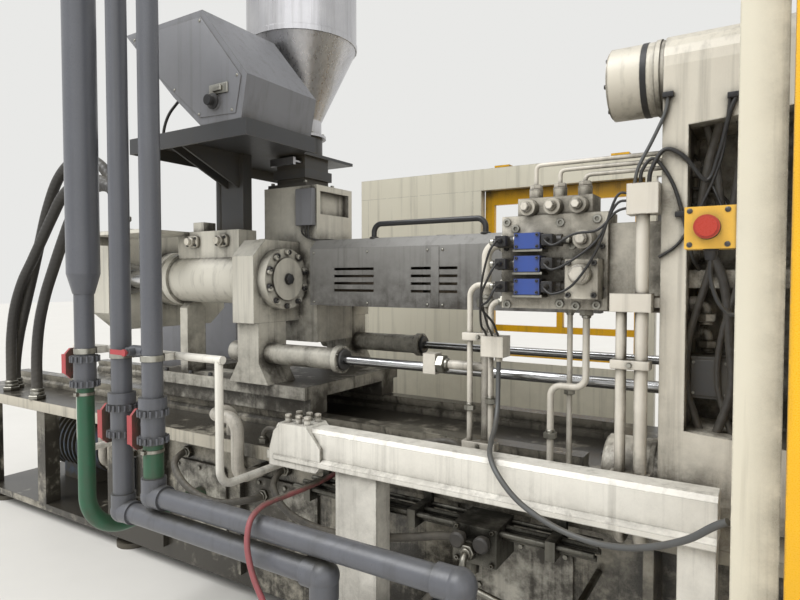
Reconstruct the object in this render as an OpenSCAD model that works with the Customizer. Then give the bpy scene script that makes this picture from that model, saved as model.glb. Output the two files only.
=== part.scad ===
// Horizontal injection moulding machine with a four-bar hydraulic clamp.
// The origin is the middle of the locating bore at the fixed platen's mould face.
// +X runs along the clamp, away from the injection unit, and +Z is up. Millimetres.

/* [Clamp] */
// Height of the clamp axis over the floor
axis_h = 1500; // [1460:10:1600]
// Distance between the tie bars across the machine
bar_pitch_y = 1200; // [1180:5:1230]
// Distance between the tie bars up the machine
bar_pitch_z = 1160; // [1140:5:1190]
// Diameter of a tie bar
bar_d = 130; // [110:1:136]
// Distance from a tie bar's axis to the platen's outer edges
bar_edge = 110; // [104:1:120]
// Depth of the fixed platen
platen_t = 400; // [380:5:420]
// Thickness of a platen's mould plate
face_t = 90; // [70:1:110]
// Thickness of a platen's back plate
back_t = 65; // [50:1:80]
// Thickness of the ribs between a platen's plates
rib_t = 50; // [36:1:60]
// Diameter of the locating bore
locating_d = 200; // [160:1:240]
// Depth of the locating bore
locating_deep = 15; // [10:1:18]
// Diameter of the nozzle hole behind the locating bore
nozzle_hole_d = 150; // [130:1:156]
// Diameter of the nozzle passage behind the locating bore
passage_d = 330; // [310:2:360]
// Distance from the fixed to the moving platen at rest
daylight = 800; // [760:10:860]
// Depth of the moving platen
moving_t = 380; // [360:5:400]
// Distance from the mould face to the rear platen
rear_x = 2650; // [2600:10:2750]
// Depth of the rear platen
rear_t = 400; // [360:5:440]
// Diameter of the clamp ram
ram_d = 420; // [360:5:460]
// Length of the clamp cylinder behind the rear platen
clamp_cyl_l = 1050; // [1040:10:1150]
// Outer diameter of the clamp cylinder
clamp_cyl_d = 620; // [580:5:680]
// Mould bolt spacing on both platens
mould_bolts = 700; // [600:10:760]
// Diameter of a mould bolt hole
mould_bolt_d = 24; // [16:1:30]
// Outer diameter of a tie bar nut
nut_d = 184; // [176:1:190]
// Length of a tie bar nut
nut_l = 100; // [70:5:110]
// Outer diameter of a tie bar cover
can_d = 208; // [204:1:220]
// Length of a tie bar cover
can_l = 157; // [150:1:180]
// Ejector stroke
eject_stroke = 170; // [120:5:180]
// Diameter of an ejector rod
eject_d = 40; // [30:1:50]
// Distance between ejector rods
eject_pitch = 300; // [260:5:340]

/* [Base] */
// Height of the levelling pads
pad_h = 60; // [40:5:80]
// Height of the clamp bed's top over the floor
bed_h = 740; // [720:5:750]
// Width of the clamp bed
bed_w = 1240; // [1220:5:1300]
// Width of one bed beam
bed_beam_w = 200; // [170:5:220]
// Thickness of the bed's flanges
bed_flange_t = 40; // [30:1:50]
// Thickness of the slideways on the bed
way_t = 20; // [14:1:26]
// Height of the injection bed's deck over the floor
deck_h = 780; // [760:5:790]
// Thickness of the deck
deck_t = 60; // [40:1:70]
// How far the deck stands out past the clamp bed on each side
deck_out = 10; // [8:1:14]
// Width of the injection bed below the deck
tank_w = 1040; // [1000:5:1080]
// Length of the injection bed
inj_bed_l = 4300; // [4200:10:4400]
// Length of the open pump bay behind the tank
pump_bay_l = 1450; // [1400:10:1500]
// Height of the carriage ways over the deck
rail_h = 80; // [60:2:90]
// Distance between the carriage ways
rail_pitch = 600; // [560:5:640]

/* [Injection unit] */
// Diameter of the screw
screw_d = 90; // [70:1:100]
// Outer diameter of the barrel
barrel_d = 220; // [200:2:236]
// Distance from the mould face to the barrel's rear end
barrel_back = 2440; // [2400:5:2480]
// Distance from the mould face to the barrel's front end
barrel_front = 330; // [320:5:360]
// Outer diameter of a heater band
heater_d = 262; // [250:2:270]
// Number of heater bands
heater_n = 6; // [4:1:7]
// Distance from the mould face to the feed throat
throat_x = 2300; // [2285:5:2310]
// Diameter of the feed throat
throat_d = 120; // [90:2:130]
// Outer diameter of an injection cylinder
inj_cyl_d = 250; // [236:2:260]
// Distance between the injection cylinders
inj_pitch = 600; // [590:5:640]
// Length of an injection cylinder
inj_cyl_l = 722; // [700:2:760]
// Diameter of an injection rod
inj_rod_d = 110; // [90:2:120]
// Diameter of an injection piston
inj_piston_d = 200; // [180:2:204]
// Injection stroke
inj_stroke = 400; // [350:10:420]
// Carriage stroke
carriage_stroke = 500; // [400:10:520]
// Thickness of the crosshead
crosshead_t = 160; // [130:5:190]
// Diameter of a carriage rod
pull_d = 40; // [30:1:50]
// Distance between the carriage rods
pull_pitch = 720; // [700:5:740]
// Width of the barrel cover
cover_w = 400; // [380:5:440]
// Height of the barrel cover
cover_h = 322; // [310:2:340]
// Radius of the hopper
hopper_r = 290; // [270:5:295]
// Wall of the hopper
hopper_wall = 4; // [3:0.5:6]

/* [Guards and services] */
// Distance from the axis to the outer face of the rear guard posts
guard_y = 1200; // [1190:5:1230]
// Width of a square guard post
post_w = 80; // [70:1:90]
// Height of the guard rails over the axis
guard_top = 900; // [880:10:960]
// Length of a mould gate
gate_l = 1400; // [1390:5:1410]
// Travel of a mould gate
gate_travel = 1350; // [1200:10:1360]
// Thickness of a gate
gate_t = 40; // [30:1:45]
// Distance from the axis to the water pipes
pipe_y = 1110; // [1100:5:1130]
// Outer diameter of the large riser
riser_d = 125; // [110:1:140]
// Outer diameter of the small risers and headers
header_d = 75; // [63:1:75]
// Width of the emergency stop box
estop_w = 90; // [86:1:96]
// Diameter of the emergency stop head
estop_d = 46; // [40:1:50]
// Diameter of a hydraulic hose
hose_d = 60; // [50:1:64]
// Diameter of the grey cable
cable_d = 16; // [12:1:18]

/* [Hidden] */
$fn = 48;

// Clearances: a seat, a running fit, and a cut that runs past its wall
seat = 0.3;
run_gap = 0.06;
past = 1;

// Heights
floor_z = -axis_h;
foot_z = floor_z + pad_h;
bed_z = floor_z + bed_h;
deck_z = floor_z + deck_h;
deck_w = bed_w + 2 * deck_out;
beam_y = -deck_w / 2 - 185;
way_z = bed_z + way_t;
rail_z = deck_z + rail_h;

// Tie bars and platens
tie_y = bar_pitch_y / 2;
tie_z = bar_pitch_z / 2;
platen_w = bar_pitch_y + 2 * bar_edge;
platen_h = bar_pitch_z + 2 * bar_edge;
moving_x = daylight;
moving_back = moving_x + moving_t;
eject_half = eject_pitch / 2;
rear_back = rear_x + rear_t;
clamp_end = rear_back + clamp_cyl_l;
bar_start = -platen_t - nut_l - 20;
bar_end = rear_back + nut_l + 30;
foot_y0 = bed_w / 2 - bed_beam_w;
foot_y1 = bed_w / 2;
bed_x0 = -platen_t - 50;
bed_x1 = clamp_end + 150;
inj_x0 = bed_x0 - inj_bed_l;
tank_x0 = inj_x0 + pump_bay_l;

// Injection unit
inj_y = inj_pitch / 2;
plate_x0 = -2340;
plate_x1 = -2200;
housing_x1 = -2084;
housing_top = 475;
stack_top = 751;
shelf_z = 640;
flange_x1 = plate_x1 + 54;
cyl_x0 = plate_x1 - inj_cyl_l;
cross_x1 = cyl_x0 - 38 - inj_stroke - 40;
cross_x0 = cross_x1 - crosshead_t;
screw_tip = -barrel_front - 100;
pull_y = pull_pitch / 2;
pull_z = -360;
pull_rod_end = plate_x1 - 180;
cover_z0 = -129;
cover_x0 = housing_x1;
cover_x1 = -680;
tx = -throat_x;
cone_z0 = 841;
cone_z1 = 1230;
hopper_top = 1650;

// Guards
post_x = [-157, gate_l - 70, 2 * gate_l - 60, 3 * gate_l - 50];
post_y0 = guard_y - post_w;
rail_low = -1000;
far_beam_y = 1120;
far_x0 = -2707;
purge_x0 = -1754;
purge_x1 = -751;

// Valves on the water pipes: pipe x, stem height
riser_x = [-2500, -2256, -2069];
header_z = [-892, -800];
header_end = [-1267, -816];
pipe_top = 1250;
drop_x = -1185;
stem_z = [-372, -540, -540];
hose_low = -730;
lever_off = 70;
lever_l = 150;
drain_z = -270;
stem_d = 16;

// Emergency stop on the first guard post
estop_x1 = post_x[0] - post_w / 2;
estop_x = estop_x1 - estop_w / 2 - 4;
estop_half = 41;
estop_y = -guard_y + 4;
estop_z = 100;
estop_deep = 62;

// Pump set
pump_z = floor_z + 350;

// Routes of the free hoses and cables: the hoses lie in planes of their own, in X and Z
hose_y = [-466, -529, -592];
hose_route = [
    [[-3240, 303.5], [-3241, 400], [-3290, 530], [-3390, 640], [-3540, 702], [-3703, 690],
     [-3850, 600], [-3970, 430], [-4060, 240], [-4150, 40], [-4250, -170], [-4340, -370],
     [-4393, -560], [-4395, -718.5]],
    [[-3130, 303.5], [-3132, 370], [-3170, 450], [-3255, 525], [-3390, 560], [-3550, 545],
     [-3690, 480], [-3800, 370], [-3910, 250], [-4030, 120], [-4160, -20], [-4260, -190],
     [-4310, -380], [-4320, -560], [-4320, -718.5]],
    [[-3020, 303.5], [-3022, 370], [-3060, 440], [-3140, 490], [-3250, 495], [-3370, 445],
     [-3480, 350], [-3575, 221], [-3680, 60], [-3776, -100], [-3850, -280], [-3884, -480],
     [-3885, -718.5]]
];
cable_route = [
    [-910, -625, -275.3], [-910, -628, -350], [-902, -652, -425], [-887, -708, -476],
    [-866, beam_y + 25, -502], [-835, beam_y - 53, -525], [-790, beam_y - 97, -563],
    [-730, beam_y - 110, -615], [-655, beam_y - 113, -654], [-580, beam_y - 123, -672],
    [-500, beam_y - 147, -670], [-420, -1000, -647],
    [-345, -1045, -607], [-280, -1088, -560], [-232, -1126, -510], [-204, -1141, -488]
];
red_route = [
    [-1545, -632, -743], [-1545, -700, -745], [-1544, -790, -748], [-1542, -880, -747],
    [-1538, -970, -742], [-1533, -1050, -736], [-1527, -1115, -738], [-1520, -1165, -765],
    [-1506, -1190, -830], [-1475, -1197, -910], [-1430, -1195, -990], [-1412, -1180, -1080],
    [-1420, -1140, -1190], [-1442, -1070, -1290], [-1465, -970, -1362], [-1478, -850, -1395],
    [-1481, -730, -1385], [-1482, -630, -1334], [-1482, -575, -1312],
    [-1482, -523, -1306]
];
red_d = 19;

// Box between two opposite corners
module block(lo, hi) {
    translate(lo) cube(hi - lo);
}

// Round bar between two points on a line along X, Y or Z
module bar_x(x0, x1, d, y = 0, z = 0) {
    translate([x0, y, z]) rotate([0, 90, 0]) cylinder(h = x1 - x0, d = d);
}

module bar_y(y0, y1, d, x = 0, z = 0) {
    translate([x, y0, z]) rotate([-90, 0, 0]) cylinder(h = y1 - y0, d = d);
}

module bar_z(z0, z1, d, x = 0, y = 0) {
    translate([x, y, z0]) cylinder(h = z1 - z0, d = d);
}

// A profile drawn in Y and Z, carried along X, or drawn in X and Z, carried along Y
module along_x(x0, x1) {
    translate([x0, 0, 0]) rotate([90, 0, 90]) linear_extrude(height = x1 - x0) children();
}

module along_y(y0, y1) {
    translate([0, y1, 0]) rotate([90, 0, 0]) linear_extrude(height = y1 - y0) children();
}

// Outline of a rectangle with round corners, each an arc of n steps
function round_box(w, h, r, n = 6) = [
    for (q = [0:3], k = [0:n])
        let (a = 90 * q + 90 * k / n,
             sx = (q == 0 || q == 3) ? 1 : -1,
             sy = q < 2 ? 1 : -1)
        [sx * (w / 2 - r) + r * cos(a), sy * (h / 2 - r) + r * sin(a)]
];

function unit(v) = v / norm(v);

// Straight round bar between any two points
module stick(a, b, d) {
    v = b - a;
    translate(a) rotate([0, acos(v.z / norm(v)), atan2(v.y, v.x)]) cylinder(h = norm(v), d = d);
}

// Quarter bend at a corner, from direction u to direction v
module bend(corner, u, v, r, d) {
    c = corner - u * r + v * r;
    n = cross(u, v);
    multmatrix([
        [-v.x, u.x, n.x, c.x],
        [-v.y, u.y, n.y, c.y],
        [-v.z, u.z, n.z, c.z],
        [0, 0, 0, 1]
    ])
        rotate_extrude(angle = 90) translate([r, 0]) circle(d = d);
}

// Tube along points that turn at right angles, with bends of radius r
module tube_run(p, d, r) {
    last = len(p) - 1;
    for (i = [0:last - 1]) {
        u = unit(p[i + 1] - p[i]);
        stick(p[i] + (i == 0 ? 0 : r) * u, p[i + 1] - (i == last - 1 ? 0 : r) * u, d);
        if (i < last - 1) bend(p[i + 1], u, unit(p[i + 2] - p[i + 1]), r, d);
    }
}

// Plastic pipe along points, with a round socket elbow at each corner
module socket_run(p, d) {
    last = len(p) - 1;
    for (i = [0:last - 1]) stick(p[i], p[i + 1], d);
    for (i = [1:last - 1]) {
        translate(p[i]) sphere(d = d * 1.28);
        stick(p[i], p[i] + unit(p[i - 1] - p[i]) * d * 0.9, d * 1.2);
        stick(p[i], p[i] + unit(p[i + 1] - p[i]) * d * 0.9, d * 1.2);
    }
}

// Ring of bolt heads round an axis along X
module bolt_heads_x(x0, x1, pcd, n, d, y = 0, z = 0) {
    for (k = [0:n - 1])
        bar_x(x0, x1, d, y + pcd / 2 * cos(360 * k / n + 15), z + pcd / 2 * sin(360 * k / n + 15));
}

// Free hose: rings of a set number of sides along a smooth curve through the points
function curve_at(p, t) =
    let (i = min(floor(t), len(p) - 2), f = t - i,
         a = p[max(i - 1, 0)], b = p[i], c = p[i + 1], e = p[min(i + 2, len(p) - 1)])
    0.5 * (2 * b + (c - a) * f + (2 * a - 5 * b + 4 * c - e) * f * f
        + (3 * b - a - 3 * c + e) * f * f * f);

module hose(p, d, rings, sides = 8, ref = [0, 1, 0]) {
    at = [for (k = [0:rings]) curve_at(p, (len(p) - 1) * k / rings)];
    way = [for (k = [0:rings]) unit(at[min(k + 1, rings)] - at[max(k - 1, 0)])];
    points = [
        for (k = [0:rings], s = [0:sides - 1])
            let (side = unit(cross(way[k], ref)), up = cross(side, way[k]), a = 360 * s / sides)
            at[k] + d / 2 * (side * cos(a) + up * sin(a))
    ];
    skin = [
        for (k = [0:rings - 1], s = [0:sides - 1])
            let (a = k * sides, b = a + sides, t = (s + 1) % sides)
            [a + s, a + t, b + t, b + s]
    ];
    polyhedron(
        points,
        concat([[for (s = [sides - 1:-1:0]) s]], skin, [[for (s = [0:sides - 1]) rings * sides + s]])
    );
}

module at_bars() {
    for (sy = [-1, 1], sz = [-1, 1]) translate([0, sy * tie_y, sz * tie_z]) children();
}

module both_sides() {
    children();
    mirror([0, 1, 0]) children();
}

// Welded clamp bed: two I-beams with stiffeners, cross members and slideways
module clamp_bed() {
    web = 30;
    stiff_pitch = 590;
    color("gainsboro") {
        both_sides() {
            block([bed_x0, foot_y0, foot_z], [bed_x1, foot_y1, foot_z + bed_flange_t]);
            block([bed_x0, foot_y0, bed_z - bed_flange_t], [bed_x1, foot_y1, bed_z]);
            block([bed_x0, foot_y0, foot_z], [bed_x1, foot_y0 + web, bed_z]);
            for (x = [bed_x0:stiff_pitch:bed_x1 - web])
                block([x, foot_y0, foot_z], [x + web, foot_y1 - 15, bed_z]);
            block([60, tie_y - 130, bed_z - 5], [rear_x - 150, foot_y1 - 15, way_z]);
        }
        for (x = [bed_x0, -60, daylight + 450, rear_x, rear_back - web, bed_x1 - web])
            block([x, -foot_y1 + 5, foot_z + 10], [x + web, foot_y1 - 5, bed_z - 10]);
        block([bed_x0, -foot_y1 + 5, bed_z - 30], [0, foot_y1 - 5, bed_z]);
        block([daylight + 450, -foot_y1 + 5, bed_z - 30], [bed_x1, foot_y1 - 5, bed_z]);
    }
}

// Injection bed: oil tank in front, open pump bay behind, one deck with two ways
module injection_bed() {
    wall = 20;
    half = tank_w / 2;
    color("gainsboro") {
        block([inj_x0, -deck_w / 2, deck_z - deck_t], [bed_x0, deck_w / 2, deck_z]);
        block([inj_x0, -half, foot_z], [bed_x0, half, foot_z + bed_flange_t]);
        both_sides() {
            block([tank_x0, half - wall, foot_z], [bed_x0, half, deck_z - 10]);
            for (x = [inj_x0, tank_x0 - 740])
                block([x, half - 90, foot_z], [x + 90, half, deck_z - 10]);
            for (x = [tank_x0 + 500:560:bed_x0 - 200])
                block([x, half - 5, foot_z + 60], [x + 24, half + 30, deck_z - 10]);
            along_x(inj_x0 + 100, -700)
                polygon([
                    [rail_pitch / 2 - 45, deck_z - 5], [rail_pitch / 2 + 45, deck_z - 5],
                    [rail_pitch / 2 + 45, deck_z + 25], [rail_pitch / 2 + 30, deck_z + 40],
                    [rail_pitch / 2 + 40, rail_z], [rail_pitch / 2 - 40, rail_z],
                    [rail_pitch / 2 - 30, deck_z + 40], [rail_pitch / 2 - 45, deck_z + 25]
                ]);
        }
        block([bed_x0 - wall, -half, foot_z], [bed_x0, half, deck_z - 10]);
        block([tank_x0, -half, foot_z], [tank_x0 + wall, half, deck_z - 10]);
    }
}

module levelling_pads() {
    plate = pad_h * 0.5;
    color("dimgray")
        for (s = [-1, 1]) {
            for (x = [bed_x0 + 150, 1300, rear_x + 200, bed_x1 - 120])
                pad(x, s * (foot_y1 - bed_beam_w / 2), plate);
            for (x = [inj_x0 + 150, tank_x0 + 100, -1500])
                pad(x, s * (tank_w / 2 - 90), plate);
        }
}

module pad(x, y, plate) {
    bar_z(floor_z, floor_z + plate, 180, x, y);
    bar_z(floor_z + plate, foot_z, 60, x, y);
}

// Ribbed casting between a mould plate and a back plate, bored for the four tie bars
module platen_casting(x0, x1, bar_hole) {
    outer_y = platen_w / 2;
    outer_z = platen_h / 2;
    block_z = tie_z - bar_edge - 20;
    difference() {
        intersection() {
            along_x(x0, x1) polygon(round_box(platen_w, platen_h, bar_edge));
            union() {
                block([x0, -outer_y, -outer_z], [x0 + back_t, outer_y, outer_z]);
                block([x1 - face_t, -outer_y, -outer_z], [x1, outer_y, outer_z]);
                bar_x(x0, x1, passage_d + 2 * rib_t);
                both_sides() {
                    for (s = [-1, 1])
                        along_y(tie_y - bar_edge, outer_y)
                            polygon([
                                [x0, s * outer_z], [x1, s * outer_z],
                                [x1, s * (block_z - 10)], [x0, s * (block_z - 40)]
                            ]);
                    block([x0, outer_y * 0.52, -outer_z], [x1, outer_y * 0.52 + rib_t, outer_z]);
                    block([x0, 0, tie_z - bar_edge], [x1, tie_y, tie_z - bar_edge + rib_t]);
                    block([x0, 0, -tie_z + bar_edge - rib_t], [x1, tie_y, -tie_z + bar_edge]);
                    block([x0, passage_d / 2, -rib_t / 2], [x1, outer_y - 60, rib_t / 2]);
                }
                block([x0, -rib_t / 2, passage_d / 2], [x1, rib_t / 2, outer_z]);
                block([x0, -rib_t / 2, -outer_z], [x1, rib_t / 2, -passage_d / 2]);
            }
        }
        at_bars() bar_x(x0 - past, x1 + past, bar_hole);
    }
}

module mould_bolt_holes(x0, x1) {
    for (y = [-1, 1], z = [-1, 1])
        bar_x(x0, x1, mould_bolt_d, y * mould_bolts / 2, z * mould_bolts / 2);
}

module fixed_platen() {
    color("gainsboro") {
        difference() {
            platen_casting(-platen_t, 0, bar_d + 2 * seat);
            bar_x(-platen_t - past, -face_t, passage_d);
            bar_x(-face_t - past, past, nozzle_hole_d);
            bar_x(-locating_deep, past, locating_d);
            mould_bolt_holes(-face_t - past, past);
        }
        both_sides()
            block([-platen_t, foot_y0, bed_z], [0, foot_y1, -platen_h / 2]);
    }
}

module moving_platen() {
    shoe_z = way_z + seat;
    hole = eject_d + 2 * run_gap;
    color("gainsboro") {
        difference() {
            platen_casting_hollow();
            for (y = [-1, 1], z = [-1, 1])
                bar_x(moving_x - past, moving_x + face_t + past, hole, y * eject_half, z * eject_half);
            mould_bolt_holes(moving_x - past, moving_x + face_t + past);
        }
        both_sides()
            block([moving_x, tie_y - 120, shoe_z], [moving_back, foot_y1 - 20, -platen_h / 2]);
    }
}

// The moving platen's casting leaves a chamber for the ejector plate
module platen_casting_hollow() {
    room = eject_pitch + 160;
    difference() {
        platen_casting(moving_x, moving_back, bar_d + 2 * run_gap);
        block(
            [moving_x + face_t, -room / 2, -room / 2],
            [moving_back - back_t, room / 2, room / 2]
        );
    }
}

module ejector_plate() {
    back = moving_back - back_t - 15;
    front = back - 30;
    side = eject_pitch + 110;
    color("silver") {
        block([front, -side / 2, -side / 2], [back, side / 2, side / 2]);
        for (y = [-1, 1], z = [-1, 1])
            bar_x(moving_x + 1, front + 5, eject_d, y * eject_half, z * eject_half);
    }
}

module rear_platen() {
    color("gainsboro") {
        difference() {
            along_x(rear_x, rear_back) polygon(round_box(platen_w, platen_h, bar_edge));
            for (sy = [-1, 1])
                block(
                    [rear_x + face_t, sy > 0 ? platen_w / 2 - 90 : -platen_w / 2 - past, -300],
                    [rear_back - back_t, sy > 0 ? platen_w / 2 + past : -platen_w / 2 + 90, 300]
                );
            bar_x(rear_x - past, rear_back + past, ram_d + 2 * run_gap);
            at_bars() bar_x(rear_x - past, rear_back + past, bar_d + 2 * seat);
        }
        both_sides()
            block([rear_x, foot_y0, bed_z], [rear_back, foot_y1, -platen_h / 2]);
    }
}

module tie_bars() {
    color("silver")
        at_bars() bar_x(bar_start, bar_end, bar_d);
}

module nut_at(x0, x1) {
    difference() {
        bar_x(x0, x1, nut_d);
        bar_x(x0 - past, x1 + past, bar_d + 2 * seat);
        for (k = [0:5])
            rotate([60 * k, 0, 0])
                block([x0 + 20, -9, nut_d / 2 - 8], [x1 - 20, 9, nut_d / 2 + past]);
    }
}

module tie_bar_nuts() {
    color("dimgray") {
        at_bars() nut_at(-platen_t - nut_l, -platen_t);
        at_bars() nut_at(rear_back, rear_back + nut_l);
    }
}

module tie_bar_covers() {
    wall = 6;
    end = -platen_t - can_l;
    color("gainsboro")
        at_bars()
            difference() {
                union() {
                    bar_x(end + 6, -platen_t, can_d);
                    bar_x(end, end + 7, can_d - 14);
                    bar_x(-platen_t - 26, -platen_t - 13, can_d + 8);
                }
                bar_x(end + wall + 4, -platen_t + past, can_d - 2 * wall);
            }
}

module clamp_cylinder() {
    color("gainsboro")
        difference() {
            union() {
                bar_x(rear_back, rear_back + 70, clamp_cyl_d + 120);
                bar_x(rear_back + 60, clamp_end - 40, clamp_cyl_d);
                bar_x(clamp_end - 90, clamp_end, clamp_cyl_d + 80);
                bolt_heads_x(rear_back + 65, rear_back + 95, clamp_cyl_d + 70, 12, 46);
                bolt_heads_x(clamp_end - 5, clamp_end + 25, clamp_cyl_d - 10, 12, 40);
                block(
                    [rear_back + 220, -130, clamp_cyl_d / 2 - 40],
                    [rear_back + 520, 130, clamp_cyl_d / 2 + 110]
                );
            }
            bar_x(rear_back - past, clamp_end - 70, ram_d + 30);
        }
}

module clamp_ram() {
    end = rear_back + 550;
    color("silver") {
        bar_x(moving_back + 60, end, ram_d);
        bar_x(moving_back, moving_back + 61, ram_d + 140);
        bolt_heads_x(moving_back + 55, moving_back + 80, ram_d + 90, 10, 30);
    }
}

// Pump set in the bay under the deck, with its axis along X
module pump_motor() {
    x0 = inj_x0 + 190;
    x1 = x0 + 610;
    d = 420;
    color("steelblue")
        difference() {
            union() {
                bar_x(x0 + 100, x1, d - 40, 0, pump_z);
                for (k = [0:7]) bar_x(x0 + 150 + 50 * k, x0 + 165 + 50 * k, d, 0, pump_z);
                bar_x(x0, x0 + 110, d, 0, pump_z);
                block([x0 + 160, -150, foot_z + bed_flange_t], [x1 - 100, 150, pump_z]);
                block([x0 + 220, -90, pump_z + 150], [x0 + 440, 90, pump_z + d / 2 + 60]);
            }
            bar_x(x0 + 12, x0 + 98, d - 24, 0, pump_z);
            bar_x(x0 - past, x0 + 14, 110, 0, pump_z);
            for (k = [0:11])
                rotate_about_pump(30 * k) block([x0 - past, -12, 75], [x0 + 13, 12, 165]);
            bar_x(x0, x1 + past, 60 + 2 * run_gap, 0, pump_z);
        }
}

module rotate_about_pump(a) {
    translate([0, 0, pump_z]) rotate([a, 0, 0]) children();
}

module motor_rotor() {
    x0 = inj_x0 + 190;
    x1 = x0 + 610;
    color("silver") {
        bar_x(x0 + 30, x1 + 120, 60, 0, pump_z);
        bar_x(x0 + 30, x0 + 70, 120, 0, pump_z);
        for (k = [0:7])
            rotate_about_pump(45 * k) block([x0 + 34, -4, 40], [x0 + 86, 4, 180]);
        bar_x(x1 + 30, x1 + 100, 150, 0, pump_z);
    }
}

module hydraulic_pump() {
    x0 = inj_x0 + 800;
    color("dimgray")
        difference() {
            union() {
                bar_x(x0, x0 + 30, 360, 0, pump_z);
                bar_x(x0 + 29, x0 + 150, 240, 0, pump_z);
                bar_x(x0 + 149, x0 + 180, 300, 0, pump_z);
                bar_x(x0 + 179, x0 + 420, 220, 0, pump_z);
                block([x0 + 220, -150, pump_z - 90], [x0 + 380, 150, pump_z + 90]);
                bar_y(-240, 240, 90, x0 + 300, pump_z);
            }
            bar_x(x0 - past, x0 + 130, 190, 0, pump_z);
            for (a = [0, 90, 180, 270])
                rotate_about_pump(a) block([x0 + 50, -60, 60], [x0 + 120, 60, 140]);
        }
}

// Electric cabinet beside the injection bed, with its door on the far side
cab_y = deck_w / 2 + seat;
cab = [[-4600, cab_y, floor_z], [-3500, cab_y + 430, 300]];
door_t = 25;

module electric_cabinet() {
    wall = 20;
    lo = cab[0];
    hi = cab[1];
    color("gainsboro") {
        difference() {
            block(lo, hi);
            block([lo.x + wall, lo.y + wall, lo.z + 120], [hi.x - wall, hi.y + past, hi.z - wall]);
        }
        block([lo.x + 90, lo.y + wall - 1, lo.z + 200], [hi.x - 90, lo.y + wall + 12, hi.z - 120]);
        for (r = [0:3], c = [0:4])
            block(
                [lo.x + 130 + 175 * c, lo.y + wall + 5, lo.z + 260 + 350 * r],
                [lo.x + 265 + 175 * c, lo.y + wall + 100, lo.z + 470 + 350 * r]
            );
    }
}

module cabinet_door() {
    lo = cab[0];
    hi = cab[1];
    y = hi.y + seat;
    color("gainsboro") {
        block([lo.x, y, lo.z + 60], [hi.x, y + door_t, hi.z - 10]);
        bar_y(y + door_t - 1, y + door_t + 20, 50, hi.x - 60, -500);
        block([hi.x - 72, y + door_t + 12, -580], [hi.x - 48, y + door_t + 28, -420]);
    }
}

module guard_posts() {
    color("ivory") {
        for (s = [-1, 1], x = post_x) {
            y = s > 0 ? post_y0 : -guard_y;
            block([x - post_w / 2, y, floor_z + 11], [x + post_w / 2, y + post_w, guard_top]);
            block(
                [x - 85, s > 0 ? y : y - 30, floor_z],
                [x + 85, s > 0 ? y + post_w + 30 : y + post_w, floor_z + 12]
            );
        }
        block(
            [panel_pin.x - 30, guard_y - 1, panel_z - 30],
            [panel_pin.x + 30, panel_pin.y + 30, panel_z]
        );
        bar_z(panel_z - 1, panel_z + 70, 40, panel_pin.x, panel_pin.y);
        for (x = [far_x0 + 30, purge_x0 - 30, purge_x1 + 30]) {
            block([x - 30, far_beam_y, floor_z + 11], [x + 30, far_beam_y + 60, 575]);
            block([x - 70, far_beam_y - 30, floor_z], [x + 70, far_beam_y + 90, floor_z + 12]);
        }
    }
}

module guard_rails() {
    half = post_w / 2;
    color("ivory") {
        for (s = [-1, 1]) {
            y = s > 0 ? post_y0 : -guard_y;
            block([post_x[0] - half, y, guard_top], [post_x[3] + half, y + post_w, guard_top + 80]);
            for (k = [0:2])
                block(
                    [post_x[k] + half, y + 10, rail_low],
                    [post_x[k + 1] - half, y + post_w - 10, rail_low + 70]
                );
        }
        block([far_x0, far_beam_y, 575], [post_x[0] - half, far_beam_y + 60, 713]);
    }
}

module guard_panels() {
    half = post_w / 2;
    mid = post_y0 + 20;
    color("ivory") {
        for (s = [-1, 1], k = [1, 2])
            block(
                [post_x[k] + half, s > 0 ? mid : -mid - 20, rail_low + 70],
                [post_x[k + 1] - half, s > 0 ? mid + 20 : -mid, guard_top]
            );
        block([post_x[3] - 10, -post_y0, bed_z + 10], [post_x[3] + 10, post_y0, guard_top]);
        for (x = [post_x[0], post_x[3]])
            block([x - half, -post_y0, guard_top + 5], [x + half, post_y0, guard_top + 75]);
        block([far_x0 + 60, far_beam_y, floor_z + 150], [purge_x0 - 60, far_beam_y + 20, 575]);
        block([purge_x0, far_beam_y, floor_z + 150], [purge_x1, far_beam_y + 20, -530]);
    }
}

// Sliding gate in its own place: x from 0, outer face at y 0, with framed windows and hangers
module gate(l, z0, z1, window_z, windows, stile, hook_z, hook_y) {
    gap = 60;
    pane = (l - 2 * stile - (windows - 1) * gap) / windows;
    difference() {
        block([0, 0, z0], [l, gate_t, z1]);
        for (k = [0:windows - 1])
            block(
                [stile + k * (pane + gap), -past, window_z[0]],
                [stile + k * (pane + gap) + pane, gate_t + past, window_z[1]]
            );
        block([stile, gate_t - 14, z0 + 60], [l - stile, gate_t + past, window_z[0] - 60]);
    }
    for (x = [120, l - 220]) {
        block([x, 0, z1 - 5], [x + 100, gate_t, hook_z + 14]);
        block([x, 0, hook_z], [x + 100, hook_y, hook_z + 14]);
    }
    bar_z(window_z[0] - 330, window_z[0] - 80, 28, l - stile / 2, -50);
    for (z = [window_z[0] - 315, window_z[0] - 95]) bar_y(-50, 5, 20, l - stile / 2, z);
}

module rear_gate() {
    color("gold")
        translate([-110, -guard_y - 10 - gate_t, 0])
            gate(gate_l, rail_low - 50, guard_top - 10, [-60, guard_top - 130], 3, 90,
                guard_top + 80 + seat, gate_t + 60);
}

module front_gate() {
    color("gold")
        mirror([0, 1, 0]) translate([-110, -guard_y - 10 - gate_t, 0])
            gate(gate_l, rail_low - 50, guard_top - 10, [-60, guard_top - 130], 3, 90,
                guard_top + 80 + seat, gate_t + 60);
}

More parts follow.
